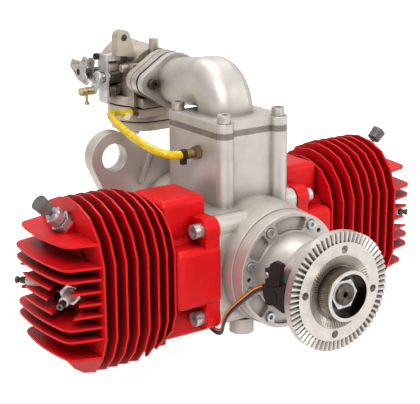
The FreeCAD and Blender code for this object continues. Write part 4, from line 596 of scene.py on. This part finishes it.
# Where the two plugs' axes cross, their slant, and how far out the shell ends.
PLUG_CROSS, PLUG_TURN, PLUG_TOP = 166.3, pi / 4, 29.0
SLEEVE = [
    (-0.4, 5.9), (0.6, 6.2), (1.6, 6.2), (2.4, 5.4), (3.0, 4.9), (4.0, 4.8), (9.0, 4.55), (10.0, 4.75),
    (11.0, 4.5), (17.4, 4.3), (18.4, 4.1), (18.9, 3.4), (19.2, 2.6),
]
TERMINAL = [
    (18.4, 2.0), (19.4, 3.1), (20.6, 3.3), (23.4, 3.3), (24.0, 2.9), (24.2, 2.2), (25.0, 2.0), (25.6, 2.6),
    (26.0, 3.1), (27.6, 3.2), (28.4, 2.9), (28.7, 2.2), (28.6, 1.2), (26.6, 1.1),
]


def make_plugs():
    """Two plugs a cylinder, to the front and to the back, at the same slant."""
    sleeves, terminals = [], []
    for sign, centre in CYLINDERS.values():
        for side in (-1, 1):
            way = np.array([sign * np.cos(PLUG_TURN), sign * side * np.sin(PLUG_TURN), 0])
            start = np.array([sign * PLUG_CROSS, centre, 0]) + way * PLUG_TOP
            sleeves.append(lathe(SLEEVE, start, way))
            terminals.append(lathe(TERMINAL, start, way, columns=40))
    make_piece("plug_sleeves", sleeves, FINISHES["ceramic"], "engine", ("spark_plug_insulators",))
    make_piece("plug_terminals", terminals, FINISHES["dark_steel"], "engine",
               ("spark_plug_terminals",))


make_plugs()

# Decompression valves: a thin stem that goes into the valve, with a nearly straight, capped knob. The seat
# is (distance from the crank axis, height).
VALVE_SEAT = (179.0, 55.0)
KNOB = [
    (-10.0, 2.45), (20.3, 2.45), (20.5, 3.0), (21.2, 3.0), (21.3, 6.0), (21.8, 6.5), (23.0, 6.7),
    (28.6, 6.75), (29.0, 6.95), (30.2, 7.1), (32.2, 7.1), (32.8, 6.9), (33.0, 6.5), (33.0, 5.9), (32.7, 5.6),
]


def make_knobs():
    """One knob a cylinder, on the slant between outwards and up."""
    for side, (sign, centre) in CYLINDERS.items():
        way = np.array([sign * np.cos(pi / 4), 0, np.sin(pi / 4)])
        start = (sign * VALVE_SEAT[0], centre, VALVE_SEAT[1])
        make_piece(f"decomp_knob_{side}", [lathe(KNOB, start, way, columns=56)], FINISHES["knob"],
                   f"button_{side}", (f"decomp_button_{side}",))


make_knobs()

# Choke: two pressed plates on a shaft, as (y, z) outlines with the places of their holes.
FAN = [
    (344.6, 152.8), (341.5, 156.0), (335.0, 155.6), (327.0, 156.2), (322.6, 156.6), (320.3, 160.3),
    (315.1, 161.9), (310.8, 159.5), (311.7, 152.8), (316.2, 146.3), (313.5, 141.3), (310.4, 137.0),
    (313.4, 133.4), (320.1, 133.8), (331.6, 137.3), (340.1, 143.4), (345.9, 148.0),
]
SECOND = [
    (324.7, 157.6), (318.5, 159.4), (313.6, 157.6), (315.1, 149.5), (316.5, 143.3), (313.7, 140.8),
    (316.0, 136.4), (321.2, 134.7), (325.1, 137.1), (323.5, 144.3), (325.6, 150.0),
]
FAN_HOLES = [(337.2, 151.9), (328.6, 153.4), (315.6, 157.2), (336.5, 144.1), (315.6, 137.0)]
SECOND_HOLES = [(320.0, 154.2), (318.8, 139.0)]
FAN_X, SECOND_X = -62.0, -53.0  # outer faces of the plates
HOLE_LIFT = 0.05  # how far the dark discs that stand for holes lie off the plates
FAN_BOSS = (FAN_X, 327.7, 144.7)
CHOKE_AXIS, THROTTLE_AXIS = (332, 141.5), (305, 141.5)  # (y, z) of the shafts, as in part.py
BOSS = [(-0.3, 4.6), (0.5, 4.6), (0.8, 4.2), (0.9, 2.2)]
BOSS_RING = [(0.95, 3.2), (1.0, 3.2), (1.02, 2.5), (0.96, 2.4)]
FAN_SHAFT = [(0, 3.4), (7, 3.4), (7.2, 3.9), (9, 3.9), (9.2, 3.4), (58, 3.4), (58.4, 3.95), (95, 3.95)]


def eyelet(x, y, z, radius):
    """A pressed rim round a small hole that faces left."""
    rim = radius + 0.7
    profile = [(-0.2, rim), (0.25, rim), (0.4, rim - 0.25), (0.4, radius), (-0.1, radius)]
    return lathe(profile, (x, y, z), TO_LEFT, columns=20)


def disc(x, y, z, radius, depth=0.12):
    """A low domed disc that faces left."""
    profile = [(0, radius), (0.6 * depth, radius), (0.9 * depth, 0.8 * radius), (depth, 0.4 * radius)]
    return lathe(profile, (x, y, z), TO_LEFT, columns=24)


def pan_head(x, y, z, radius, height):
    """A screw head that faces left: a low dome on a short rim."""
    profile = [(0, radius), (0.5 * height, radius), (0.8 * height, 0.9 * radius), (height, 0.6 * radius)]
    return lathe(profile, (x, y, z), TO_LEFT, columns=28)


def make_choke():
    """The fan plate and the second plate with their rims, the shaft and three springs."""
    plates = [sheet_plate(loop(FAN), FAN_X, thickness=1.6, middle=(325.5, 147.0)),
              sheet_plate(loop(SECOND), SECOND_X, thickness=1.4, middle=(319.5, 147.0))]
    boss = lathe(BOSS, FAN_BOSS, TO_LEFT, columns=32)
    shaft = lathe(FAN_SHAFT, (-61.5, *CHOKE_AXIS), ALONG_X, columns=32)
    rims = [eyelet(FAN_X, y, z, radius=0.95) for y, z in FAN_HOLES]
    rims += [eyelet(SECOND_X, y, z, radius=1.1) for y, z in SECOND_HOLES]
    make_piece("choke_lever", [*plates, boss, shaft, *rims], FINISHES["nickel"], "choke",
               ("choke_shaft",))
    holes = [disc(FAN_X - HOLE_LIFT, y, z, radius=0.9) for y, z in FAN_HOLES]
    holes += [disc(SECOND_X - HOLE_LIFT, y, z, radius=1.0) for y, z in SECOND_HOLES]
    ring = lathe(BOSS_RING, FAN_BOSS, TO_LEFT, columns=32)
    make_piece("choke_holes", [*holes, ring], FINISHES["hole"], "choke")
    springs = [coil((-60.0, *CHOKE_AXIS), ALONG_X, radius=5.6, wire=0.8, length=7.0, turns=4),
               coil((-51.0, 316.0, 160.5), ALONG_X, radius=2.8, wire=0.7, length=7.5, turns=5),
               coil((-51.5, *CHOKE_AXIS), ALONG_X, radius=5.0, wire=0.7, length=13.0, turns=7)]
    make_piece("choke_springs", springs, FINISHES["dark_steel"], "choke")


# Small pieces of the carburettor and its controls, as (along, radius) profiles.
RIBS = [
    (0, 5.8), (0.5, 6.2), (1.2, 6.2), (1.7, 5.8), (2.4, 5.8), (2.9, 6.2), (3.6, 6.2), (4.1, 5.8), (4.8, 5.8),
    (5.3, 6.2), (6, 6.2), (6.5, 5.8), (10.5, 5.8),
]
DRUM = [(0, 5.7), (0.4, 6.1), (13, 6.1), (13.5, 5.9)]
IDLE_TUBE = [(0.8, 1.9), (0, 2.0), (0, 3.6), (0.4, 3.9), (13, 3.9)]
INLET = [(0.6, 2.0), (0, 2.1), (0, 3.3), (0.5, 3.5), (3.0, 3.5), (3.4, 2.9), (12, 2.9)]
SWIVEL_CAP = [(0, 3.8), (0.6, 4.2), (2.6, 4.2), (3.2, 3.7), (3.4, 1.2)]
CLAMP_SCREW = [(0, 1.3), (7, 1.3), (7.2, 2.6), (9.4, 2.6), (9.8, 2.0)]
TAB = [(-47.2, 157.4), (-31.5, 157.4), (-31.5, 163.4), (-47.2, 163.4)]  # (x, z) corners


def make_carburettor():
    """Return spring, tubes, bosses, the bracket's tab, the swivel's cap, and two screw heads, the second of
    which is on the sensor's case."""
    spring = coil((-44.3, *THROTTLE_AXIS), ALONG_X, radius=7.75, wire=0.85, length=13.0, turns=8)
    make_piece("return_spring", [spring], FINISHES["dark_steel"], "engine")
    drum = lathe(DRUM, (-44.6, 304.0, 150.6), ALONG_X, columns=40)
    tube = lathe(IDLE_TUBE, (-37.4, 288.0, 151.3), ALONG_X, columns=36)
    make_piece("carb_fittings", [drum, tube], FINISHES["carb_cast"], "engine")
    ribs = lathe(RIBS, (-44.0, 303, 127.5), ALONG_X, columns=32)
    make_piece("carb_ribbed_boss", [ribs], FINISHES["carb_dark"], "engine")
    inlet = lathe(INLET, (-42.0, 271.0, 107.2), (0.8, 0.6, 0), columns=32)
    make_piece("carb_inlet", [inlet], FINISHES["nylon_white"], "engine")
    # a plate square to Y: the one square to X with its first two axes changed over
    tab = sheet_plate(loop(TAB, steps=1), 298.2, thickness=1.0)[..., [1, 0, 2]]
    make_piece("bracket_tab", [tab], FINISHES["plated_sheet"], "engine")
    heads = [pan_head(-47.0, 307.8, 137.3, radius=2.9, height=1.3),
             pan_head(-45.0, 40.6, 12.4, radius=2.7, height=1.6)]
    make_piece("pan_heads", heads, FINISHES["zinc"], "engine")
    cap = lathe(SWIVEL_CAP, (-66.0, 314.0, 127.5), TO_LEFT, columns=36)
    clamp = lathe(CLAMP_SCREW, (-61.8, 314.0, 124.0), DOWN, columns=24)
    make_piece("swivel_cap", [cap, clamp], FINISHES["pale_brass"], "swivel")


make_choke()
make_carburettor()

# Sensor: the round moulding mark on its case.
MARK = [(-0.4, 3.6), (0.5, 3.5), (0.6, 3.0), (0.2, 2.8), (0.2, 1.6), (0.55, 1.3)]
mark = lathe(MARK, (-47.4, 29.2, -2.4), TO_LEFT, columns=36)
make_piece("sensor_mark", [mark], FINISHES["black"], "engine")


# Room: a paper floor, a white world and three lamps.
def make_floor(level, reach=6.0):
    """A wide pale floor: it shows white to the camera round the object's shadow, and dimmer in gloss."""
    mesh = bpy.data.meshes.new("floor")
    corners = [(x * reach, y * reach, level) for x, y in ((-1, -1), (1, -1), (1, 1), (-1, 1))]
    mesh.from_pydata(corners, [], [(0, 1, 2, 3)])
    floor = bpy.data.objects.new("floor", mesh)
    bpy.context.scene.collection.objects.link(floor)
    material, tree, shader, _ = new_material("floor_paper")
    shader.inputs["Base Color"].default_value = linear(PAPER)
    shader.inputs["Roughness"].default_value = 0.9
    path = add(tree, "ShaderNodeLightPath")
    gloss, seen = (
        add(tree, "ShaderNodeMath", {0: path.outputs[ray], 1: level_seen}, operation="MULTIPLY").outputs[0]
        for ray, level_seen in (("Is Glossy Ray", GLOSS_LOW), ("Is Camera Ray", FLOOR_GLOW)))
    glow = add(tree, "ShaderNodeMath", {0: seen, 1: gloss}, operation="MAXIMUM")
    shader.inputs["Emission Color"].default_value = (1, 1, 1, 1)
    tree.links.new(glow.outputs[0], shader.inputs["Emission Strength"])
    mesh.materials.append(material)


def make_world(ambient):
    """White to the camera and through glass; gloss sees white overhead that falls off below, and dull
    surfaces get a soft fill light."""
    world = bpy.data.worlds.new("studio")
    bpy.context.scene.world = world
    world.use_nodes = True
    tree = world.node_tree
    tree.nodes.clear()
    path = add(tree, "ShaderNodeLightPath")
    way = add(tree, "ShaderNodeSeparateXYZ", {0: add(tree, "ShaderNodeTexCoord").outputs["Generated"]})
    sky = add(tree, "ShaderNodeMapRange", {
        "Value": way.outputs["Z"], "From Min": -0.3, "From Max": 0.75,
        "To Min": GLOSS_LOW, "To Max": GLOSS_HIGH})
    plain = add(tree, "ShaderNodeMath", {
        0: path.outputs["Is Camera Ray"], 1: path.outputs["Is Transmission Ray"]}, operation="MAXIMUM")
    soft = add(tree, "ShaderNodeMapRange", {
        "Value": path.outputs["Is Glossy Ray"], "To Min": ambient, "To Max": sky.outputs[0]})
    strength = add(tree, "ShaderNodeMapRange", {
        "Value": plain.outputs[0], "To Min": soft.outputs[0], "To Max": 1.0})
    light = add(tree, "ShaderNodeBackground", {"Color": (1, 1, 1, 1), "Strength": strength.outputs[0]})
    add(tree, "ShaderNodeOutputWorld", {"Surface": light.outputs[0]})


make_camera()
make_floor(cad_box[0].z)
make_world(AMBIENT)
make_lamp("key", (-0.9, -1.1, 1.5), size=0.9, watts=28)
make_lamp("fill", (1.4, -0.9, 0.7), size=1.2, watts=8)
make_lamp("top", (0.2, 0.6, 1.6), size=1.0, watts=12)
bpy.context.scene.view_settings.view_transform = "Standard"

bpy.context.view_layer.update()
